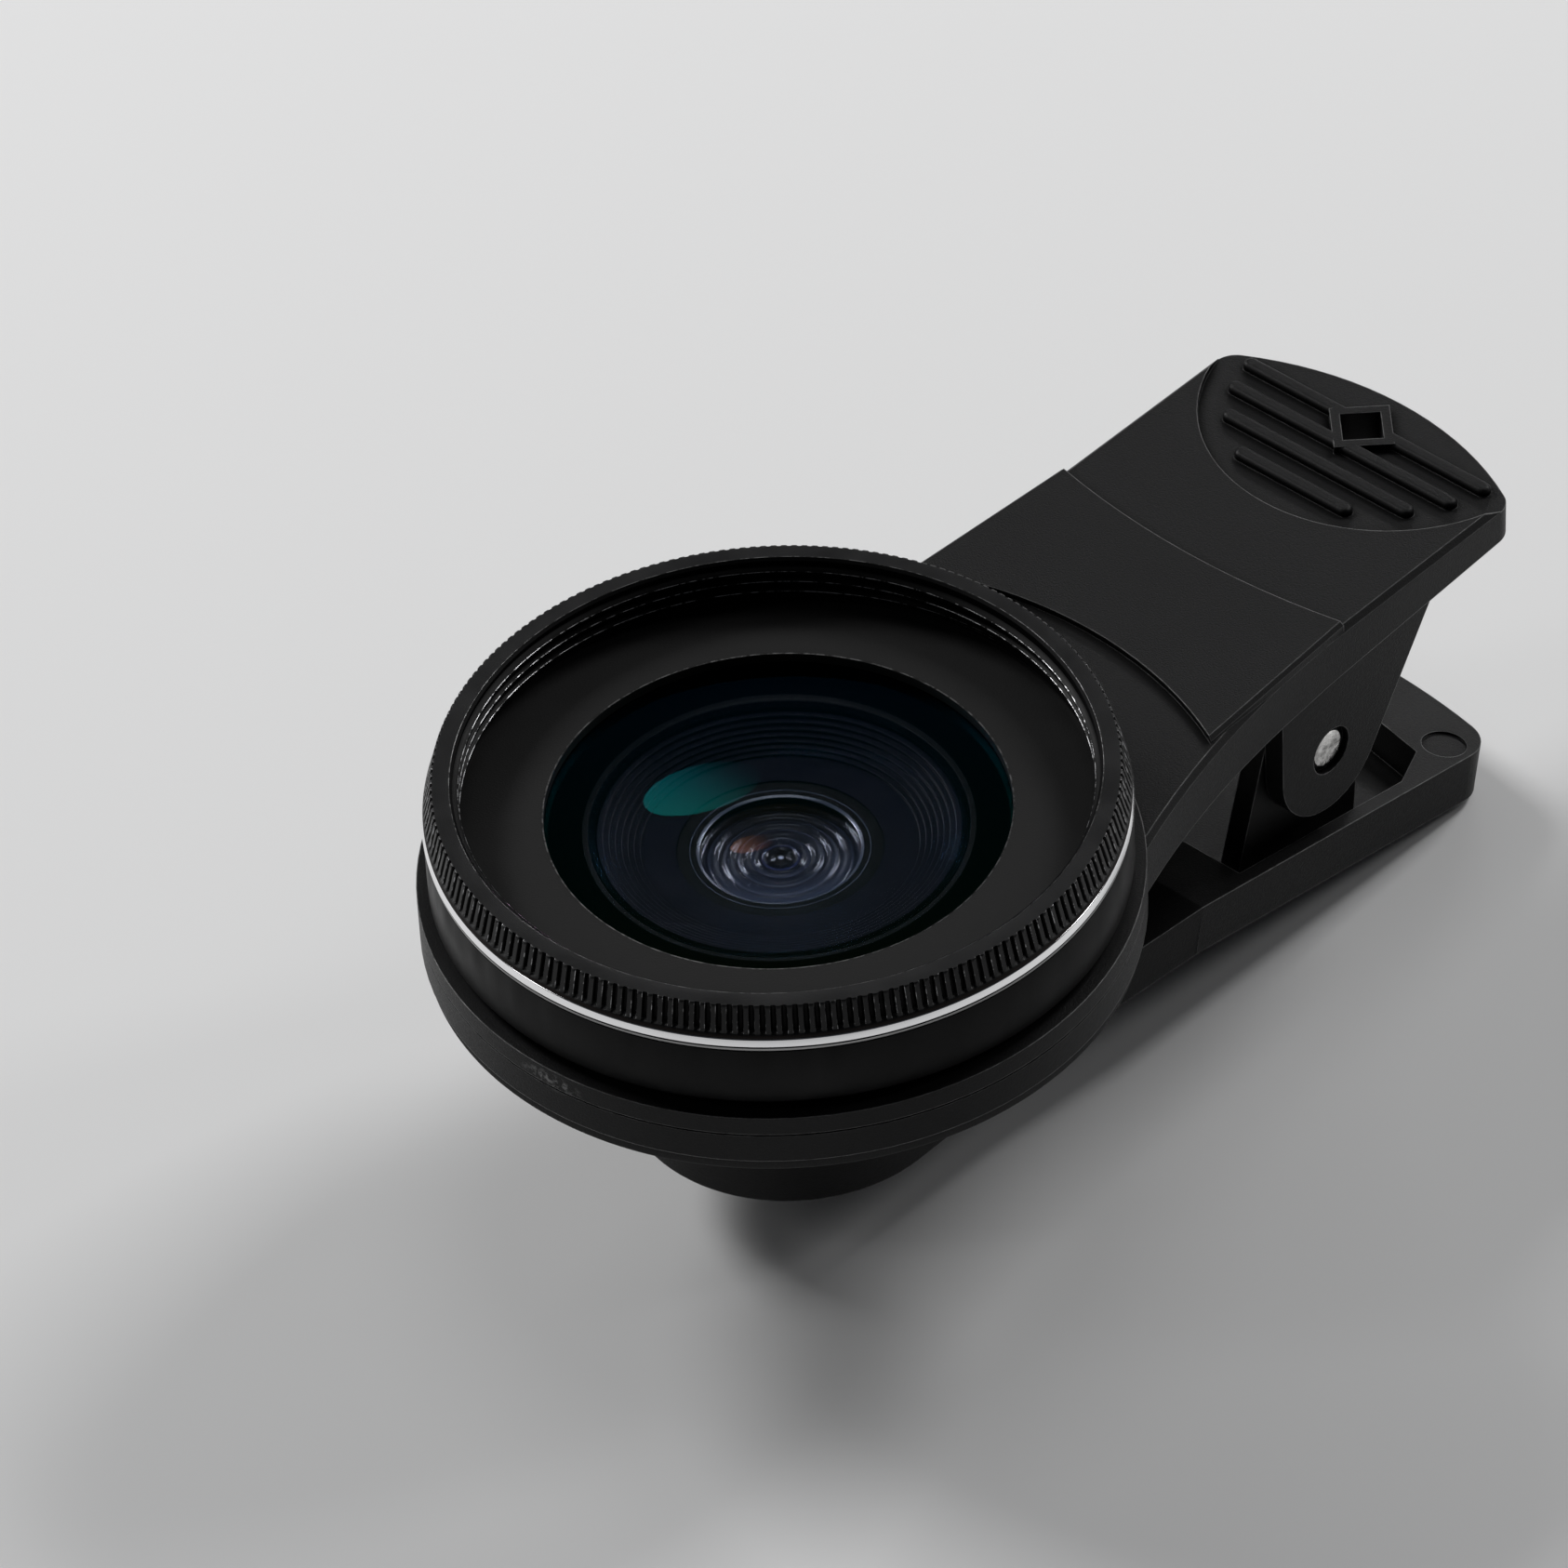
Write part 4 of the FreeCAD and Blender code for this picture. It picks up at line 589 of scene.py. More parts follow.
# %% Moulded black plastic
HAND_CLOUDS = 0.16
HAND_PALENESS = 1.35
SPARK_GRAIN = 8.5
SPARK_ROUGHNESS = 0.65
SPARK_GLOSS = (-0.07, 0.09)
EDGE_ROUND = 0.12
RUB_AND_HIGHLIGHT_SPOTS = 1.1
RUB_AND_HIGHLIGHT_SPAN = (0.35, 0.6)
RUB_AND_HIGHLIGHT_SHARE = (0.45, 1.0)
RUB_POLISH = -0.14
RUB_AND_HIGHLIGHT_SHEEN = 0.5
PAINTED_CREASE_SHADE = 0.15
SCUFF_PLACE = (-20.9, -1.6, 3.45)
SCUFF_SQUEEZE = (0.8, 0.8, 2.6)
SCUFF_REACH = (0.5, 1.9)
SCUFF_SPOTS = 2.4
SCUFF_SPAN = (0.48, 0.62)
SCUFF_SHARE = (0.0, 0.8)


def scuffs(tree):
    """How much a place on the ring's side is scuffed, in a field longer than it is high."""
    centre = tuple(a * b * MM for a, b in zip(SCUFF_PLACE, SCUFF_SQUEEZE))
    squeezed = vector_node(tree, "MULTIPLY", place_of(tree), SCUFF_SQUEEZE).outputs["Vector"]
    apart = vector_node(tree, "DISTANCE", squeezed, centre).outputs["Value"]
    near = spread(tree, times(tree, apart, PER_MM), SCUFF_REACH, (1.0, 0.0))
    spots = noise(tree, SCUFF_SPOTS, detail=4, roughness=ROUGH_NOISE)
    marks = spread(tree, spots, SCUFF_SPAN, SCUFF_SHARE)
    return times(tree, near, marks)


def make_plastic(name, colour, roughness, grain, sheen, edge=None):
    """Grained plastic. With an edge colour, its rounded edges get wear and painted highlight."""
    material, tree, shader = new_material(name, colour, roughness, sheen=sheen)
    clouds = noise(tree, HAND_CLOUDS, detail=4)
    body = mix_colours(tree, clouds, colour, scaled(colour, HAND_PALENESS))
    fine = noise(tree, SPARK_GRAIN, detail=3, roughness=SPARK_ROUGHNESS)
    smooth, rough = SPARK_GLOSS
    gloss = spread(tree, fine, NOISE_SPAN, (roughness + smooth, roughness + rough))
    if edge is None:
        fill(shader, {"Base Color": body, "Roughness": gloss})
        add_bump(tree, shader, fine, grain)
        return material
    normal, share, air = rounded_edges(tree, EDGE_ROUND)
    # The edge colour is partly wear and partly painted highlight: thin light lines along convex
    # edges.
    spots = noise(tree, RUB_AND_HIGHLIGHT_SPOTS, detail=4, roughness=ROUGH_NOISE)
    share = times(tree, share, spread(tree, spots, RUB_AND_HIGHLIGHT_SPAN, RUB_AND_HIGHLIGHT_SHARE))
    share = math_node(tree, "MAXIMUM", share, scuffs(tree))
    # Painted shade: the colour is darkened where little open air lies within reach, in creases and
    # steps.
    body = mix_colours(tree, air, scaled(colour, PAINTED_CREASE_SHADE), body)
    # The sheen is raised on edges, as wear and painted highlight, and cut in creases, as painted
    # shade.
    level = math_node(tree, "MULTIPLY_ADD", share, RUB_AND_HIGHLIGHT_SHEEN, sheen)
    fill(shader, {
        "Base Color": mix_colours(tree, share, body, edge),
        "Roughness": math_node(tree, "MULTIPLY_ADD", share, RUB_POLISH, gloss),
        "Specular IOR Level": times(tree, air, level),
    })
    add_bump(tree, shader, fine, grain, before=normal)
    return material


# The edge colour, far lighter than the body, is partly wear and partly painted highlight.
CLIP_PLASTIC = make_plastic(
    "clip_plastic", (0.0052, 0.0052, 0.0054), roughness=0.44, grain=0.024, sheen=0.16,
    edge=(0.20, 0.20, 0.20),
)
RUBBER = make_plastic(
    "pad_rubber", (0.010, 0.010, 0.010), roughness=0.75, grain=0.02, sheen=0.3
)

# %% [markdown]
# ## Steel of the pin and the spring
# The pin's cut ends are pitted and stained. The spring's wire is smoother, with a fine drawn grain.

# %% Steel
STAIN_SCALE = 0.6
STAIN_SPAN = (0.38, 0.58)
STAIN_DARKENING = 0.35
PIT_GLOSS = (-0.08, 0.12)
PIT_ROUGHNESS = 0.6


def make_steel(name, colour, roughness, grain, pits_per_mm):
    material, tree, shader = new_material(name, colour, roughness, metallic=1.0)
    pits = noise(tree, pits_per_mm, detail=3, roughness=PIT_ROUGHNESS)
    patches = noise(tree, STAIN_SCALE * pits_per_mm, detail=4, roughness=ROUGH_NOISE)
    clean = spread(tree, patches, STAIN_SPAN, FULL)
    face = mix_colours(tree, clean, scaled(colour, STAIN_DARKENING), colour)
    smooth, rough = PIT_GLOSS
    gloss = spread(tree, pits, NOISE_SPAN, (roughness + smooth, roughness + rough))
    fill(shader, {"Base Color": face, "Roughness": gloss})
    add_bump(tree, shader, pits, grain)
    return material


PIN_STEEL = make_steel(
    "pin_steel", (0.95, 0.94, 0.92), roughness=0.24, grain=0.10, pits_per_mm=1.6
)
SPRING_STEEL = make_steel(
    "spring_steel", (0.52, 0.51, 0.50), roughness=0.30, grain=0.004, pits_per_mm=6.0
)

# %% [markdown]
# ## Tools for pieces
# Most of the lens is turned, so a section of radius and height is spun round the axis. Real edges
# are never sharp: a helper rounds each corner of the section, and the small round catches light.
# Every mesh here is a net of rows and columns, which one helper joins to faces.

# %% Tools for pieces
TURN_STEPS = 240
ROUND_POINTS = 4
ROUND_LIMIT = 0.45
SMOOTH_ANGLE = 40


def rounded(corners, usual):
    """Rounds each corner of a closed section. A corner is (radius, height) or has its own round."""
    count = len(corners)
    points = []
    for index in range(count):
        here = Vector(corners[index][:2])
        size = corners[index][2] if len(corners[index]) > 2 else usual
        before = Vector(corners[index - 1][:2]) - here
        after = Vector(corners[(index + 1) % count][:2]) - here
        size = min(size, before.length * ROUND_LIMIT, after.length * ROUND_LIMIT)
        if size <= 0:
            points.append(here)
            continue
        start = here + before.normalized() * size
        end = here + after.normalized() * size
        for step in range(ROUND_POINTS):
            share = step / (ROUND_POINTS - 1)
            points.append(
                start * (1 - share) ** 2 + here * (2 * share * (1 - share)) + end * share ** 2
            )
    return points


def turned_point(radius, angle, height):
    """A place at a distance from the lens axis, from millimetres to metres."""
    return radius * math.cos(angle) * MM, radius * math.sin(angle) * MM, height * MM


def net_faces(rows, columns, closed=False):
    """Faces of a net whose columns run all the way round, and its rows too where it is closed."""
    faces = []
    for row in range(rows if closed else rows - 1):
        above = (row + 1) % rows
        for column in range(columns):
            after = (column + 1) % columns
            faces.append((
                row * columns + column,
                row * columns + after,
                above * columns + after,
                above * columns + column,
            ))
    return faces


def end_faces(rows, columns):
    """The two faces that close the first and the last row of an open net."""
    last = (rows - 1) * columns
    return [
        tuple(reversed(range(columns))),
        tuple(last + column for column in range(columns)),
    ]


def spin(points):
    """Vertices and faces of a closed section, in millimetres, spun round the lens axis."""
    vertices = [
        turned_point(radius, 2 * math.pi * step / TURN_STEPS, height)
        for step in range(TURN_STEPS)
        for radius, height in points
    ]
    faces = [(a, d, c, b) for a, b, c, d in net_faces(TURN_STEPS, len(points), closed=True)]
    return vertices, faces


def new_piece(name, shape, material, body, replaced=(), ride=True):
    """A piece of the scene. shape is its vertices and faces."""
    vertices, faces = shape
    mesh = bpy.data.meshes.new(name)
    mesh.from_pydata(vertices, [], faces)
    mesh.validate()
    mesh.shade_smooth()
    mesh.set_sharp_from_angle(angle=math.radians(SMOOTH_ANGLE))
    mesh.materials.append(material)
    piece = bpy.data.objects.new(name, mesh)
    bpy.context.scene.collection.objects.link(piece)
    if ride:
        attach(piece, body)
    if replaced:
        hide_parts(*replaced)
    print(name, "has", len(mesh.polygons), "faces")
    return piece


def paint(piece, finishes, choose):
    """Adds finishes to a piece. choose gives each face the number of its own, 0 for the first."""
    for finish in finishes:
        piece.data.materials.append(finish)
    for face in piece.data.polygons:
        face.material_index = choose(face)


def radius_and_height(face):
    """Where the middle of a face lies, in millimetres."""
    return math.hypot(face.center.x, face.center.y) / MM, face.center.z / MM


def reach(node):
    """Outer radius, foot and top of a turned node, in millimetres."""
    low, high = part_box(node)
    return high.x / MM, low.z / MM, high.z / MM


# %% [markdown]
# ## Bright trim ring
# Two bright lands with a dark line between them. The upper land is broad and leans inward a
# little, so it mirrors the pale floor all the way round. The lower one is narrow and stays grey.

# %% Bright trim ring
TRIM_SEAT = 0.7
TRIM_GROOVE = 0.34
TRIM_GROOVE_HALF = 0.06
TRIM_ROUND = 0.02
TOP_NORMAL = 0.8


def make_trim_ring():
    outer, foot, top = reach("silver_trim_ring")
    bore = reach("front_ring")[0] - TRIM_SEAT
    groove = foot + (top - foot) * TRIM_GROOVE
    section = [
        (bore, foot),
        # the lower land
        (outer - 0.10, foot, 0.03),
        (outer - 0.05, foot + 0.08, 0.03),
        (outer - 0.05, groove - 0.07, 0.01),
        # the groove, and the upper land
        (outer - 0.20, groove, 0.01),
        (outer - 0.02, groove + 0.06, 0.01),
        (outer, groove + 0.10, 0.02),
        (outer - 0.11, top - 0.05, 0.03),
        (outer - 0.16, top - 0.01, 0.02),
        (bore, top),
    ]
    piece = new_piece(
        "bright_trim_ring", spin(rounded(section, TRIM_ROUND)), BRIGHT_RING,
        "lens", ["silver_trim_ring"],
    )

    def finish(face):
        height = radius_and_height(face)[1]
        if abs(height - groove) < TRIM_GROOVE_HALF or face.normal.z > TOP_NORMAL:
            return 2
        return 1 if height < groove else 0

    paint(piece, [DULL_LAND, GROOVE_BLACK], finish)


make_trim_ring()

# %% [markdown]
# ## Front ring with its knurl
# A knurling wheel presses parallel grooves into the tapered ring, which run out shallow at its foot
# and leave a flat land between them. The columns of the mesh follow the edges of the lands, with a
# fine chamfer that shows bare metal. The deep grooves and the bore are painted darker, as painted
# shade.

# %% Front ring with its knurl
TOOTH_COUNT = 204
TOOTH_COLUMNS = 6
TOOTH_BAND = 0.28
GROOVE_DEPTH = 0.24
GROOVE_FLOOR = 0.13
GROOVE_SHOULDER = 0.25
PAINTED_SHADE_DEPTH = 0.7
LAND_COLUMN = 3
CHAMFER_COLUMNS = (2, 4)
TOOTH_CHAMFER = 0.05
SHOULDER_DROP = 0.03
FRONT_TAPER = 0.55
FILTER_CHAMFER = 0.16
FACE_ROUND = 0.07
SLEEVE_WALL = 0.42
BORE_RELIEF = 0.25
THREAD_RELIEF = 0.2
BLACK, TOOTH, BARE, BROWN, PAINTED_SHADE = range(5)
# Place between the knurl's foot and the face, and how deep the grooves are there.
KNURL_ROWS = [
    (0.0, 0.0),
    (0.03, 0.35),
    (0.09, 0.8),
    (0.16, 1.0),
    (0.4, 1.0),
    (0.7, 1.0),
    (0.93, 1.0),
    (1.0, 0.8),
]


def tooth_columns(outer, depth):
    """(turn within one tooth, radius) of its columns: groove floor, two flanks and the land."""
    floor = outer - GROOVE_DEPTH * depth
    shoulder = outer - SHOULDER_DROP * depth
    land = GROOVE_SHOULDER + TOOTH_CHAMFER
    return [
        (-GROOVE_FLOOR, floor),
        (GROOVE_FLOOR, floor),
        (GROOVE_SHOULDER, shoulder),
        (land, outer),
        (1 - land, outer),
        (1 - GROOVE_SHOULDER, shoulder),
    ]


def front_ring_rows():
    """Radius, height, depth of the grooves and finish of each row, up the outside and back."""
    foot_radius, ring_low, face = reach("front_ring")
    trim_top = reach("silver_trim_ring")[2]
    spigot_top = reach("lens_barrel")[2]
    sleeve, _, plate_top = reach("front_retaining_plate")
    face_radius = foot_radius - FRONT_TAPER
    knurl_foot = trim_top + TOOTH_BAND
    thread_end = plate_top + THREAD_RELIEF
    chamfer = FILTER_BORE + FILTER_CHAMFER
    # The sleeve inside the barrel, then the smooth band under the knurl.
    rows = [
        (sleeve, ring_low, 0, BLACK),
        (sleeve, spigot_top, 0, BLACK),
        (sleeve + SLEEVE_WALL, spigot_top, 0, BLACK),
        (sleeve + SLEEVE_WALL, trim_top + 0.01, 0, BROWN),
        (foot_radius - 0.05, trim_top + 0.01, 0, BROWN),
        (foot_radius, trim_top + 0.06, 0, BROWN),
        (foot_radius - 0.04, knurl_foot - 0.04, 0, BLACK),
    ]
    for share, depth in KNURL_ROWS:
        height = knurl_foot + (face - FACE_ROUND - knurl_foot) * share
        outer = foot_radius - FRONT_TAPER * (height - trim_top) / (face - trim_top)
        rows.append((outer, height, depth, BLACK))
    # The round of the face, the chamfer of the bore, and the bore down to the ring's foot.
    rows += [
        (face_radius - 0.02, face - 0.02, 0.45, BLACK),
        (face_radius - FACE_ROUND, face, 0.2, BLACK),
        (face_radius - FACE_ROUND - 0.08, face, 0, BLACK),
        (chamfer + 0.04, face, 0, BARE),
        # From here down the bore the wall is painted darker: painted shade.
        (chamfer, face - 0.008, 0, PAINTED_SHADE),
        (chamfer - 0.035, face - 0.04, 0, PAINTED_SHADE),
        (FILTER_BORE, face - FILTER_CHAMFER, 0, PAINTED_SHADE),
        (FILTER_BORE, thread_end, 0, PAINTED_SHADE),
        (FILTER_BORE + BORE_RELIEF, thread_end, 0, BLACK),
        (FILTER_BORE + BORE_RELIEF, ring_low, 0, BLACK),
    ]
    return rows


def knurl_finish(row, column, rows):
    """The finish of a face: worn on the chamfers of the teeth, painted shade in the deep grooves.
    """
    depth, usual = rows[row][2:]
    place = column % TOOTH_COLUMNS
    if depth == 0 or rows[(row + 1) % len(rows)][2] == 0:
        return usual
    if place in CHAMFER_COLUMNS:
        return TOOTH
    return PAINTED_SHADE if depth > PAINTED_SHADE_DEPTH and place != LAND_COLUMN else usual


def make_front_ring():
    rows = front_ring_rows()
    columns = TOOTH_COLUMNS * TOOTH_COUNT
    vertices = [
        turned_point(column_radius, 2 * math.pi * (tooth + turn) / TOOTH_COUNT, height)
        for radius, height, depth, _ in rows
        for tooth in range(TOOTH_COUNT)
        for turn, column_radius in tooth_columns(radius, depth)
    ]
    faces = net_faces(len(rows), columns, closed=True)
    piece = new_piece(
        "knurled_front_ring", (vertices, faces), RING_BLACK,
        "lens", ["front_ring"],
    )
    paint(
        piece, [TOOTH_EDGE, EDGE_METAL, FOOT_BROWN, PAINTED_SHADE_BLACK],
        lambda face: knurl_finish(face.index // columns, face.index % columns, rows),
    )


make_front_ring()

# %% [markdown]
# ## Filter thread
# The thread in the front ring is one ridge that winds round the bore with a pitch of 0.75 mm. It is
# swept here as a helix of small sections, which sink into the bore at both ends. It is painted
# darker than the ring, as painted shade.

# %% Filter thread
THREAD_PITCH = 0.75
THREAD_DEPTH = 0.32
THREAD_FOOT = 0.40
THREAD_INSET = 0.45
THREAD_SUNK = 0.03
THREAD_STEPS = 160
THREAD_FADE_STEPS = 14
THREAD_CREST = 0.11
THREAD_EDGE_WIDTH = 0.035
THREAD_EDGE_DEPTH = 0.9
THREAD_EDGE_PLACES = (2, 4)


def make_filter_thread():
    low = reach("front_retaining_plate")[2] + THREAD_RELIEF + THREAD_PITCH * THREAD_INSET
    high = reach("front_ring")[2] - FILTER_CHAMFER - THREAD_PITCH * THREAD_INSET
    count = int((high - low) / THREAD_PITCH * THREAD_STEPS)
    wide = THREAD_CREST + THREAD_EDGE_WIDTH
    # Depth towards the axis as a share, and height as a share of the pitch.
    section = [
        (THREAD_SUNK, -THREAD_FOOT),
        (0.0, -THREAD_FOOT),
        (-THREAD_EDGE_DEPTH, -wide),
        (-1.0, -THREAD_CREST),
        (-1.0, THREAD_CREST),
        (-THREAD_EDGE_DEPTH, wide),
        (0.0, THREAD_FOOT),
        (THREAD_SUNK, THREAD_FOOT),
    ]
    vertices = []
    for step in range(count + 1):
        angle = 2 * math.pi * step / THREAD_STEPS
        share = min(1.0, step / THREAD_FADE_STEPS, (count - step) / THREAD_FADE_STEPS)
        for across, up in section:
            radius = FILTER_BORE + (across * THREAD_DEPTH * share if across < 0 else across)
            height = low + THREAD_PITCH * (step / THREAD_STEPS + up)
            vertices.append(turned_point(radius, angle, height))
    size = len(section)
    side_faces = net_faces(count + 1, size)
    first = tuple(range(size))
    last = tuple(count * size + index for index in reversed(range(size)))
    piece = new_piece(
        "filter_thread", (vertices, side_faces + [first, last]), PAINTED_SHADE_BLACK,
        "lens",
    )

    def finish(face):
        on_side = face.index < len(side_faces)
        return 1 if on_side and face.index % size in THREAD_EDGE_PLACES else 0

    paint(piece, [THREAD_EDGE], finish)


make_filter_thread()

# %% [markdown]
# ## Front retaining plate
# A flat matte plate with a fine edge round the glass, where the black is rubbed off.

# %% Front retaining plate
APERTURE_RADIUS = 13.45
PLATE_RIM = 0.5
PLATE_RECESS = 0.255
PLATE_SEAT = 0.5
PLATE_ROUND = 0.02
WORN_LIP_WIDTH = 0.085
WORN_LIP_DEPTH = 0.019


def make_front_plate():
    outer, foot, top = reach("front_retaining_plate")
    glass_radius = reach("front_lens_element")[0]
    rim = foot + PLATE_RIM
    under = foot + PLATE_RECESS
    section = [
        (APERTURE_RADIUS, under, 0.02),
        (glass_radius, under, 0.0),
        (glass_radius + PLATE_SEAT, foot, 0.02),
        (outer, foot, 0.02),
        (outer, rim, 0.02),
        (FILTER_BORE, rim, 0.1),
        (APERTURE_RADIUS + 0.09, top - 0.004, 0.0),
        (APERTURE_RADIUS, top - 0.020, 0.01),
    ]
    piece = new_piece(
        "front_plate", spin(rounded(section, PLATE_ROUND)), PLATE_BLACK,
        "lens", ["front_retaining_plate"],
    )

    def finish(face):
        radius, height = radius_and_height(face)
        near = radius < APERTURE_RADIUS + WORN_LIP_WIDTH
        return 1 if near and height > top - WORN_LIP_DEPTH else 0

    paint(piece, [EDGE_METAL], finish)


make_front_plate()

# %% [markdown]
# ## Glass elements
# Each element is spun from a section whose curved sides are arcs. The front element is a negative
# meniscus: crowned in front and hollow behind, and its flat rim is painted black against stray
# light. The small ones sit deeper, in the mount.

# %% Glass elements
ARC_STEPS = 24
SEAT_AIR = 0.01
FRONT_CROWN = 1.0
HOLLOW_RADIUS = 11.2
HOLLOW_RISE = 1.4
PAINT_INSET = 0.02
MIDDLE_CROWN = 0.5
REAR_CROWN = 0.3


def cap(outer, rise, base):
    """Points of an arc from the axis to a radius, for a cap that rises by a size over its rim."""
    size = (outer ** 2 + rise ** 2) / (2 * abs(rise))
    points = []
    for step in range(ARC_STEPS + 1):
        radius = outer * step / ARC_STEPS
        lift = math.sqrt(size ** 2 - radius ** 2) - (size - abs(rise))
        points.append((radius, base + math.copysign(lift, rise)))
    return points


def spin_disc(upper, lower, rim=()):
    """Spins a piece that reaches the axis. upper and lower run from the axis outward."""
    line = [*upper, *rim, *reversed(lower)]
    ring = line[1:-1]
    count = len(ring)
    vertices = [(0, 0, line[0][1] * MM), (0, 0, line[-1][1] * MM)]
    faces = []
    for step in range(TURN_STEPS):
        angle = 2 * math.pi * step / TURN_STEPS
        vertices += [turned_point(radius, angle, height) for radius, height in ring]
        here = 2 + step * count
        after = 2 + (step + 1) % TURN_STEPS * count
        faces.append((0, here, after))
        for index in range(count - 1):
            faces.append((here + index, here + index + 1, after + index + 1, after + index))
        faces.append((1, after + count - 1, here + count - 1))
    return vertices, faces


def make_front_glass():
    radius, foot, apex = reach("front_lens_element")
    rim_top = apex - FRONT_CROWN
    seat = foot + SEAT_AIR
    upper = cap(radius, FRONT_CROWN, rim_top)
    lower = cap(HOLLOW_RADIUS, HOLLOW_RISE, seat)
    piece = new_piece(
        "front_glass", spin_disc(upper, lower, rim=[(radius, seat)]), FRONT_GLASS,
        "lens", ["front_lens_element"],
    )

    def finish(face):
        face_radius, height = radius_and_height(face)
        if face_radius > HOLLOW_RADIUS + PAINT_INSET and height < rim_top - PAINT_INSET:
            return 1
        return 2 if face.normal.z < 0 else 0

    paint(piece, [EDGE_PAINT, HOLLOW_GLASS], finish)


def make_middle_glass():
    radius, foot, apex = reach("middle_lens_element")
    upper = cap(radius, MIDDLE_CROWN, apex - MIDDLE_CROWN)
    lower = [(radius * step / ARC_STEPS, foot + SEAT_AIR) for step in range(ARC_STEPS + 1)]
    piece = new_piece(
        "middle_glass", spin_disc(upper, lower), SMALL_GLASS,
        "lens", ["middle_lens_element"],
    )
    # The back of the middle lens carries the painted ring reflections.
    paint(piece, [PAINTED_RING_REFLECTIONS], lambda face: 1 if face.normal.z < 0 else 0)


def make_rear_glass():
    radius, foot, apex = reach("rear_lens_element")
    upper = cap(radius, REAR_CROWN, apex - REAR_CROWN)
    lower = cap(radius, -REAR_CROWN, foot + REAR_CROWN)
    new_piece(
        "rear_glass", spin_disc(upper, lower), REAR_GLASS,
        "lens_rear", ["rear_lens_element"],
    )


make_front_glass()
make_middle_glass()
make_rear_glass()

# %% [markdown]
# ## Baffle cone and the ring of the small lens
# Fine steps keep light from glancing along the wall. Their edges are rounded a little, so each one
# draws a thin blue line through the glass. The ring that holds the small lens has two thin edges,
# one round its bore and one half way out; their glossy blue tint is a painted reflection.

# %% Baffle cone
BAFFLE_STEPS = 8
BAFFLE_LAND = 0.4
BAFFLE_THROAT = 6.1
BAFFLE_EDGE_ROUND = 0.05
BAFFLE_ROOT_ROUND = 0.03
GROOVE_FIELD = 2.65
SMOOTH_RISE = 0.2
MOUTH_PAINT = 0.05
INNER_BORE = 4.72
INNER_ROUND = 0.03
BORE_EDGE_HEIGHT = 0.12
BORE_EDGE_WIDTH = 0.21
STEP_EDGE = (0.555, 0.625)


def make_baffle():
    outer, low, high = reach("baffle_cone")
    mouth = outer - BAFFLE_LAND
    wide = GROOVE_FIELD / BAFFLE_STEPS
    tall = (high - low - SMOOTH_RISE) / BAFFLE_STEPS
    corners = [(BAFFLE_THROAT, low, 0.0), (outer, low, 0.0), (outer, high, 0.0)]
    for step in range(BAFFLE_STEPS):
        radius = mouth - wide * step
        corners.append((radius, high - tall * step, BAFFLE_EDGE_ROUND))
        corners.append((radius, high - tall * (step + 1), BAFFLE_ROOT_ROUND))
    corners.append((mouth - GROOVE_FIELD, low + SMOOTH_RISE, 0.0))
    corners.append((BAFFLE_THROAT, low + 0.01, 0.0))
    piece = new_piece(
        "baffle_rings", spin(rounded(corners, BAFFLE_ROOT_ROUND)), BAFFLE_BLUE,
        "lens", ["baffle_cone"],
    )
    paint(
        piece, [EDGE_PAINT],
        lambda face: 1 if radius_and_height(face)[0] > mouth - MOUTH_PAINT else 0,
    )


def make_inner_ring():
    outer, low, high = reach("inner_retaining_ring")
    corners = [
        (INNER_BORE, low, 0.0),
        (outer, low, 0.03),
        (outer, high, 0.06),
        # the step half way out, and the rounded edge of the bore
        (INNER_BORE + 0.62, high, 0.0),
        (INNER_BORE + 0.56, high - 0.012, 0.0),
        (INNER_BORE + 0.30, high - 0.012, 0.02),
        (INNER_BORE + 0.20, high - 0.03, 0.01),
        (INNER_BORE + 0.02, high - 0.09, 0.03),
        (INNER_BORE, high - 0.13, 0.02),
    ]
    piece = new_piece(
        "inner_ring", spin(rounded(corners, INNER_ROUND)), INNER_BLACK,
        "lens", ["inner_retaining_ring"],
    )

    # The two thin edges take the glossy blue tint of the painted reflection.
    def finish(face):
        radius, height = radius_and_height(face)
        out = radius - INNER_BORE
        edge = out < BORE_EDGE_WIDTH or STEP_EDGE[0] < out < STEP_EDGE[1]
        return 1 if edge and height > high - BORE_EDGE_HEIGHT else 0

    paint(piece, [BLUE_EDGE_PAINTED_REFLECTION], finish)


make_baffle()
make_inner_ring()

# %% [markdown]
# ## Pieces that keep their CAD mesh
# The CAD model has every form of the two levers, and their shader rounds the moulded edges. The
# barrel and the rings of the mount get a fine bevel where two faces meet at an angle. The frame's
# meshes come with a seam along every edge, which is welded first.

# %% Pieces that keep their CAD mesh
WELD_REACH = 0.0005
SOFT_WIDTH = 0.05
SOFT_SEGMENTS = 2
SOFT_ANGLE = 32


def dress(node, material):
    for slot in nodes[node].material_slots:
        slot.material = material


def soften(node):
    """Rounds the edges of a piece."""
    piece = nodes[node]
    weld = piece.modifiers.new("weld", "WELD")
    weld.merge_threshold = WELD_REACH * MM
    bevel = piece.modifiers.new("edges", "BEVEL")
    bevel.width = SOFT_WIDTH * MM
    bevel.segments = SOFT_SEGMENTS
    bevel.limit_method = "ANGLE"
    bevel.angle_limit = math.radians(SOFT_ANGLE)
    bevel.harden_normals = True
    bevel.use_clamp_overlap = True
    bevel.miter_outer = "MITER_ARC"


for node in ("upper_lever", "lower_lever"):
    dress(node, CLIP_PLASTIC)
dress("lens_barrel", BARREL_BLACK)
soften("lens_barrel")
for node in ("mount_ring", "socket_ring", "lens_spacer_ring", "rear_retaining_ring"):
    dress(node, INNER_BLACK)
    soften(node)

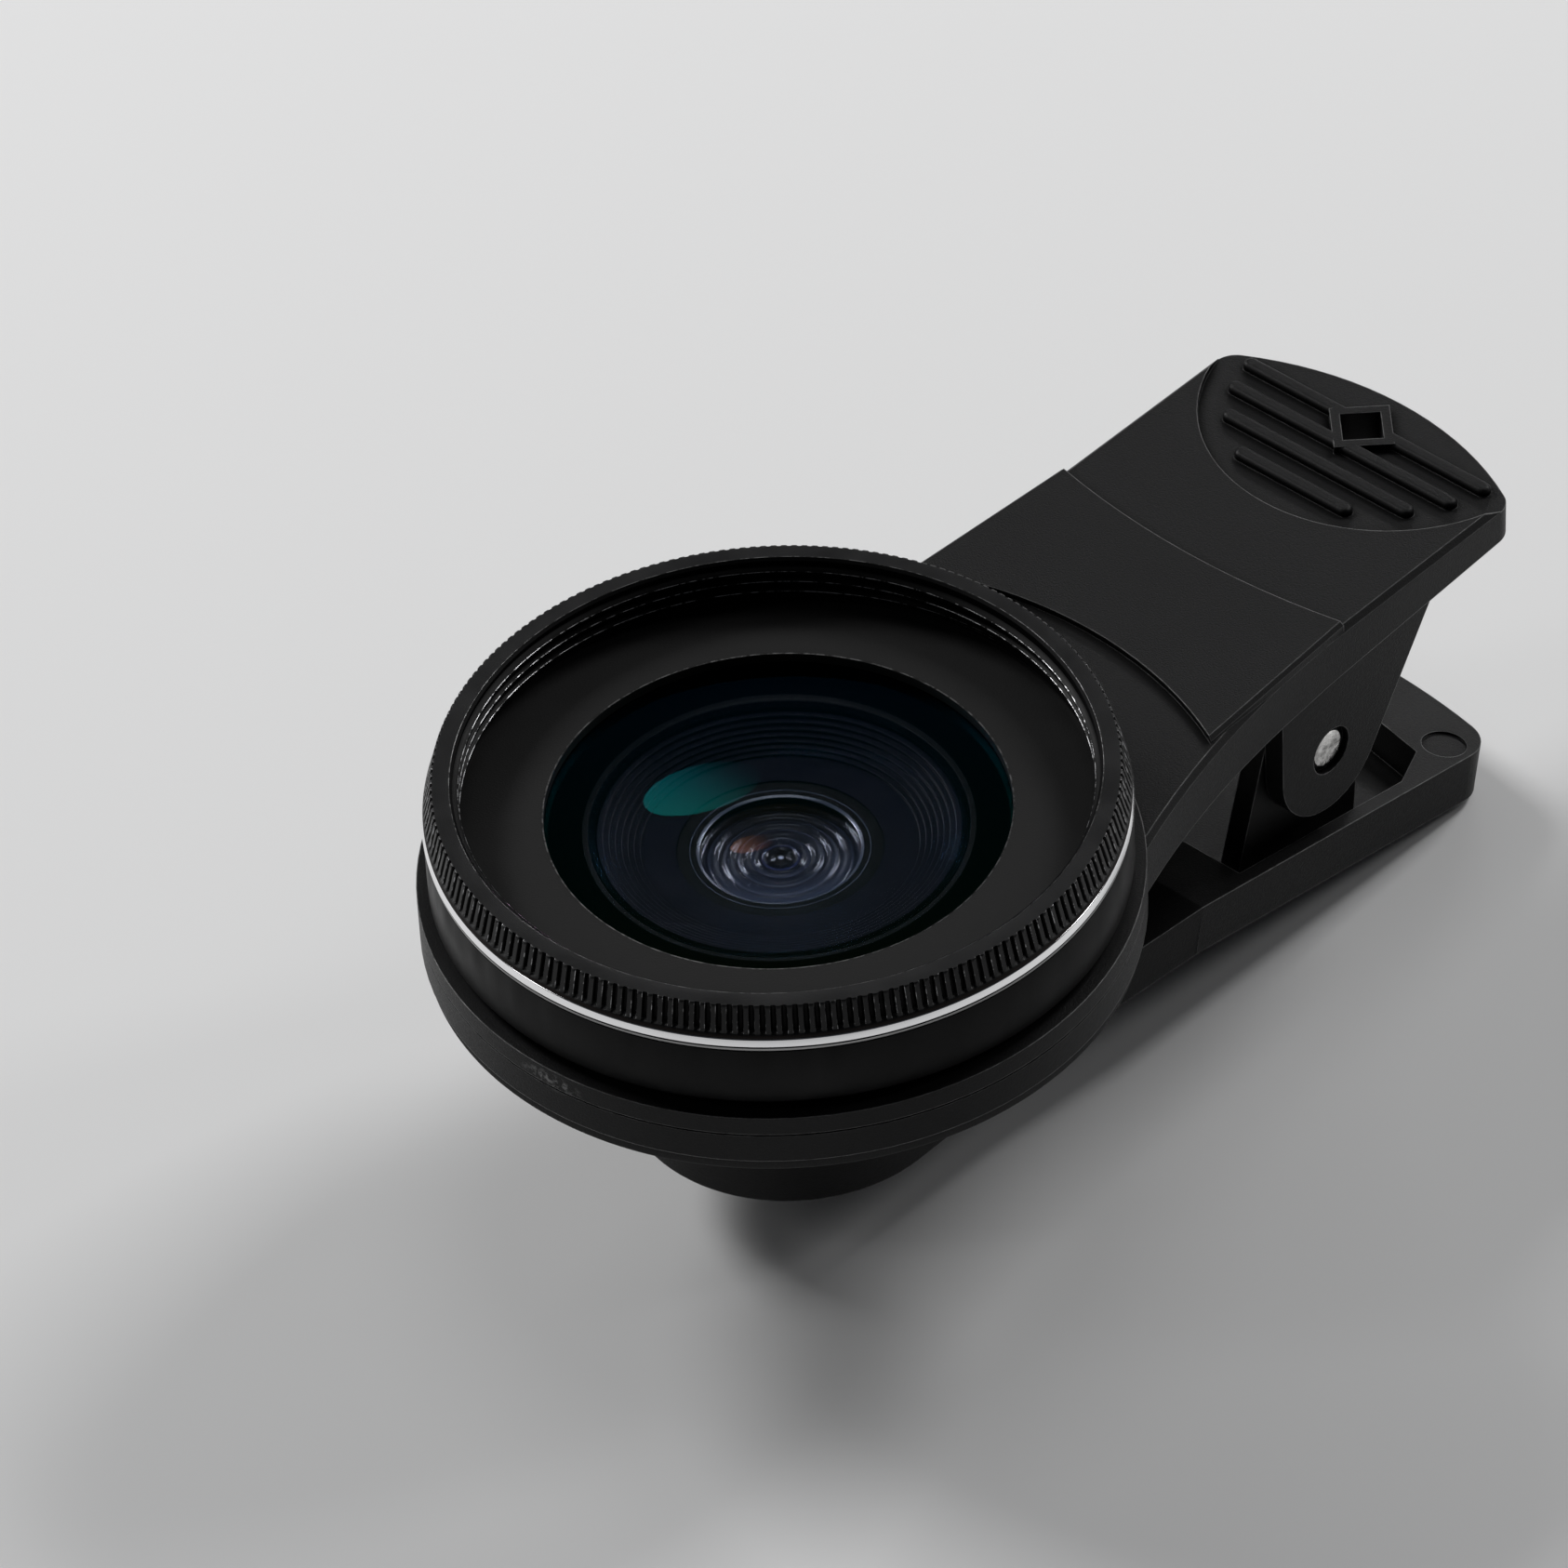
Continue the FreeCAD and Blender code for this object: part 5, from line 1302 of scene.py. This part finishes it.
# %% [markdown]
# ## Rubber pads
# The ring pad and the jaw pad are pressed from soft black rubber. Their faces are a little crowned
# and every edge is round, as rubber leaves its mould.

# %% Rubber pads
WINDOW_MARGIN = 0.45
PAD_SHOULDER = 0.8
PAD_ROUND = 0.1
PAD_SIDES = 64
# How far each row of the jaw pad is set in, in millimetres, and its height as a share.
PAD_ROWS = [
    (0.06, 0.0),
    (0.0, 0.08),
    (0.0, 0.66),
    (0.05, 0.80),
    (0.16, 0.90),
    (0.36, 0.96),
    (0.9, 0.985),
    (2.4, 1.0),
]


def make_ring_pad():
    outer, foot, top = reach("ring_pad")
    bore = reach("socket_ring")[0] + WINDOW_MARGIN
    corners = [
        (bore, foot + 0.05, 0.25),
        (bore + PAD_SHOULDER, foot, 0.6),
        (outer - PAD_SHOULDER, foot, 0.6),
        (outer, foot + 0.22, 0.2),
        (outer, top, 0.02),
        (bore, top, 0.02),
    ]
    new_piece(
        "rubber_ring_pad", spin(rounded(corners, PAD_ROUND)), RUBBER,
        "clip", ["ring_pad"],
    )


def make_jaw_pad():
    low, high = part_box("jaw_pad")
    half = high.y / MM
    far = high.x / MM - half
    foot, top = low.z / MM, high.z / MM
    vertices = []
    for inset, rise in PAD_ROWS:
        radius = half - inset
        height = foot + (top - foot) * rise
        # Two half circles, each with its middle and where it starts in half turns.
        for centre, first in ((0.0, 0.5), (far, -0.5)):
            for step in range(PAD_SIDES):
                angle = math.pi * (first + step / (PAD_SIDES - 1))
                vertices.append((
                    (centre + radius * math.cos(angle)) * MM,
                    radius * math.sin(angle) * MM,
                    height * MM,
                ))
    rows, columns = len(PAD_ROWS), 2 * PAD_SIDES
    faces = net_faces(rows, columns) + end_faces(rows, columns)
    new_piece("rubber_jaw_pad", (vertices, faces), RUBBER, "jaw", ["jaw_pad"])


make_ring_pad()
make_jaw_pad()

# %% [markdown]
# ## Hinge pin and torsion spring
# The pin is cut from drawn wire, so its ends are rough and have a small chamfer. The spring's wire
# is swept along its coil and two straight legs. One leg reaches to the jaw and the other to the
# clip.

# %% Hinge pin and torsion spring
PIN_X, PIN_Z = 36.6, -5.8
PIN_CHAMFER = 0.16
PIN_STEPS = 48
WIRE_RADIUS = 0.45
WIRE_SIDES = 14
WIRE_END_CHAMFER = 0.1
COIL_RADIUS = 2.25
COIL_PITCH = 1.1
COIL_TURNS = 6
COIL_STEPS = 28
LEG_STEPS = 12
# Ends of the two legs from the pin: along the arm, and down.
JAW_FOOT = (7.333, 9.442)
ARM_FOOT = (9.0, -7.7)


def make_pin():
    low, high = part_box("hinge_pin")
    radius = (high.x - low.x) / 2 / MM
    half = high.y / MM
    profile = [
        (0.0, half - 0.02),
        (radius * 0.5, half - 0.01),
        (radius - PIN_CHAMFER, half),
        (radius - PIN_CHAMFER * 0.3, half - PIN_CHAMFER * 0.3),
        (radius, half - PIN_CHAMFER),
    ]
    line = profile + [(across, -along) for across, along in reversed(profile)]
    vertices = []
    for across, along in line:
        for step in range(PIN_STEPS):
            angle = 2 * math.pi * step / PIN_STEPS
            vertices.append((
                (PIN_X + across * math.cos(angle)) * MM,
                along * MM,
                (PIN_Z + across * math.sin(angle)) * MM,
            ))
    faces = net_faces(len(line), PIN_STEPS)
    new_piece("steel_pin", (vertices, faces), PIN_STEEL, "clip", ["hinge_pin"])


def leg_angle(foot, side):
    """Angle round the pin at which a straight leg leaves the coil for its foot."""
    return math.atan2(foot[1], foot[0]) + side * math.acos(COIL_RADIUS / math.hypot(*foot))


def leg_points(foot, near, rise):
    """Points of a straight leg from its foot to the end of the coil, which it leaves at a rise."""
    length = math.sqrt(foot[0] ** 2 + foot[1] ** 2 - COIL_RADIUS ** 2)
    far = Vector((foot[0], foot[1], near.z + length * rise))
    return [far.lerp(near, step / LEG_STEPS) for step in range(LEG_STEPS)]


def spring_line():
    """Points of the wire's middle: x along the arm, y down, z along the pin, from its middle."""
    start = leg_angle(JAW_FOOT, 1)
    finish = leg_angle(ARM_FOOT, -1)
    turns = COIL_TURNS + (finish - start) / (2 * math.pi) % 1
    height = turns * COIL_PITCH
    rise = COIL_PITCH / (2 * math.pi * COIL_RADIUS)
    count = int(turns * COIL_STEPS)
    coil = []
    for step in range(count + 1):
        angle = start + 2 * math.pi * turns * step / count
        along = height * (step / count - 0.5)
        coil.append(Vector((COIL_RADIUS * math.cos(angle), COIL_RADIUS * math.sin(angle), along)))
    jaw_leg = leg_points(JAW_FOOT, coil[0], -rise)
    arm_leg = leg_points(ARM_FOOT, coil[-1], rise)
    return jaw_leg + coil + arm_leg[::-1]


def wire_rings(line):
    """(middle, direction, side, radius) of each ring of the wire, with a chamfer at both ends."""
    rings = []
    last = len(line) - 1
    across = Vector((0, 1, 0))
    thin = WIRE_RADIUS - WIRE_END_CHAMFER
    for index, point in enumerate(line):
        along = (line[min(index + 1, last)] - line[max(index - 1, 0)]).normalized()
        across = (across - along * across.dot(along)).normalized()
        if index == 0:
            rings.append((point, along, across, thin))
            point = point + along * WIRE_END_CHAMFER
        if index == last:
            rings.append((point - along * WIRE_END_CHAMFER, along, across, WIRE_RADIUS))
            rings.append((point, along, across, thin))
        else:
            rings.append((point, along, across, WIRE_RADIUS))
    return rings


def make_spring():
    rings = wire_rings([Vector((PIN_X + p.x, p.z, PIN_Z - p.y)) for p in spring_line()])
    vertices = []
    for point, along, across, radius in rings:
        upward = along.cross(across)
        for side in range(WIRE_SIDES):
            angle = 2 * math.pi * side / WIRE_SIDES
            out = across * math.cos(angle) + upward * math.sin(angle)
            vertices.append((point + out * radius) * MM)
    faces = net_faces(len(rings), WIRE_SIDES) + end_faces(len(rings), WIRE_SIDES)
    piece = new_piece(
        "wound_spring", (vertices, faces), SPRING_STEEL,
        "clip", ["torsion_spring"], ride=False,
    )
    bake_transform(piece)


make_pin()
make_spring()
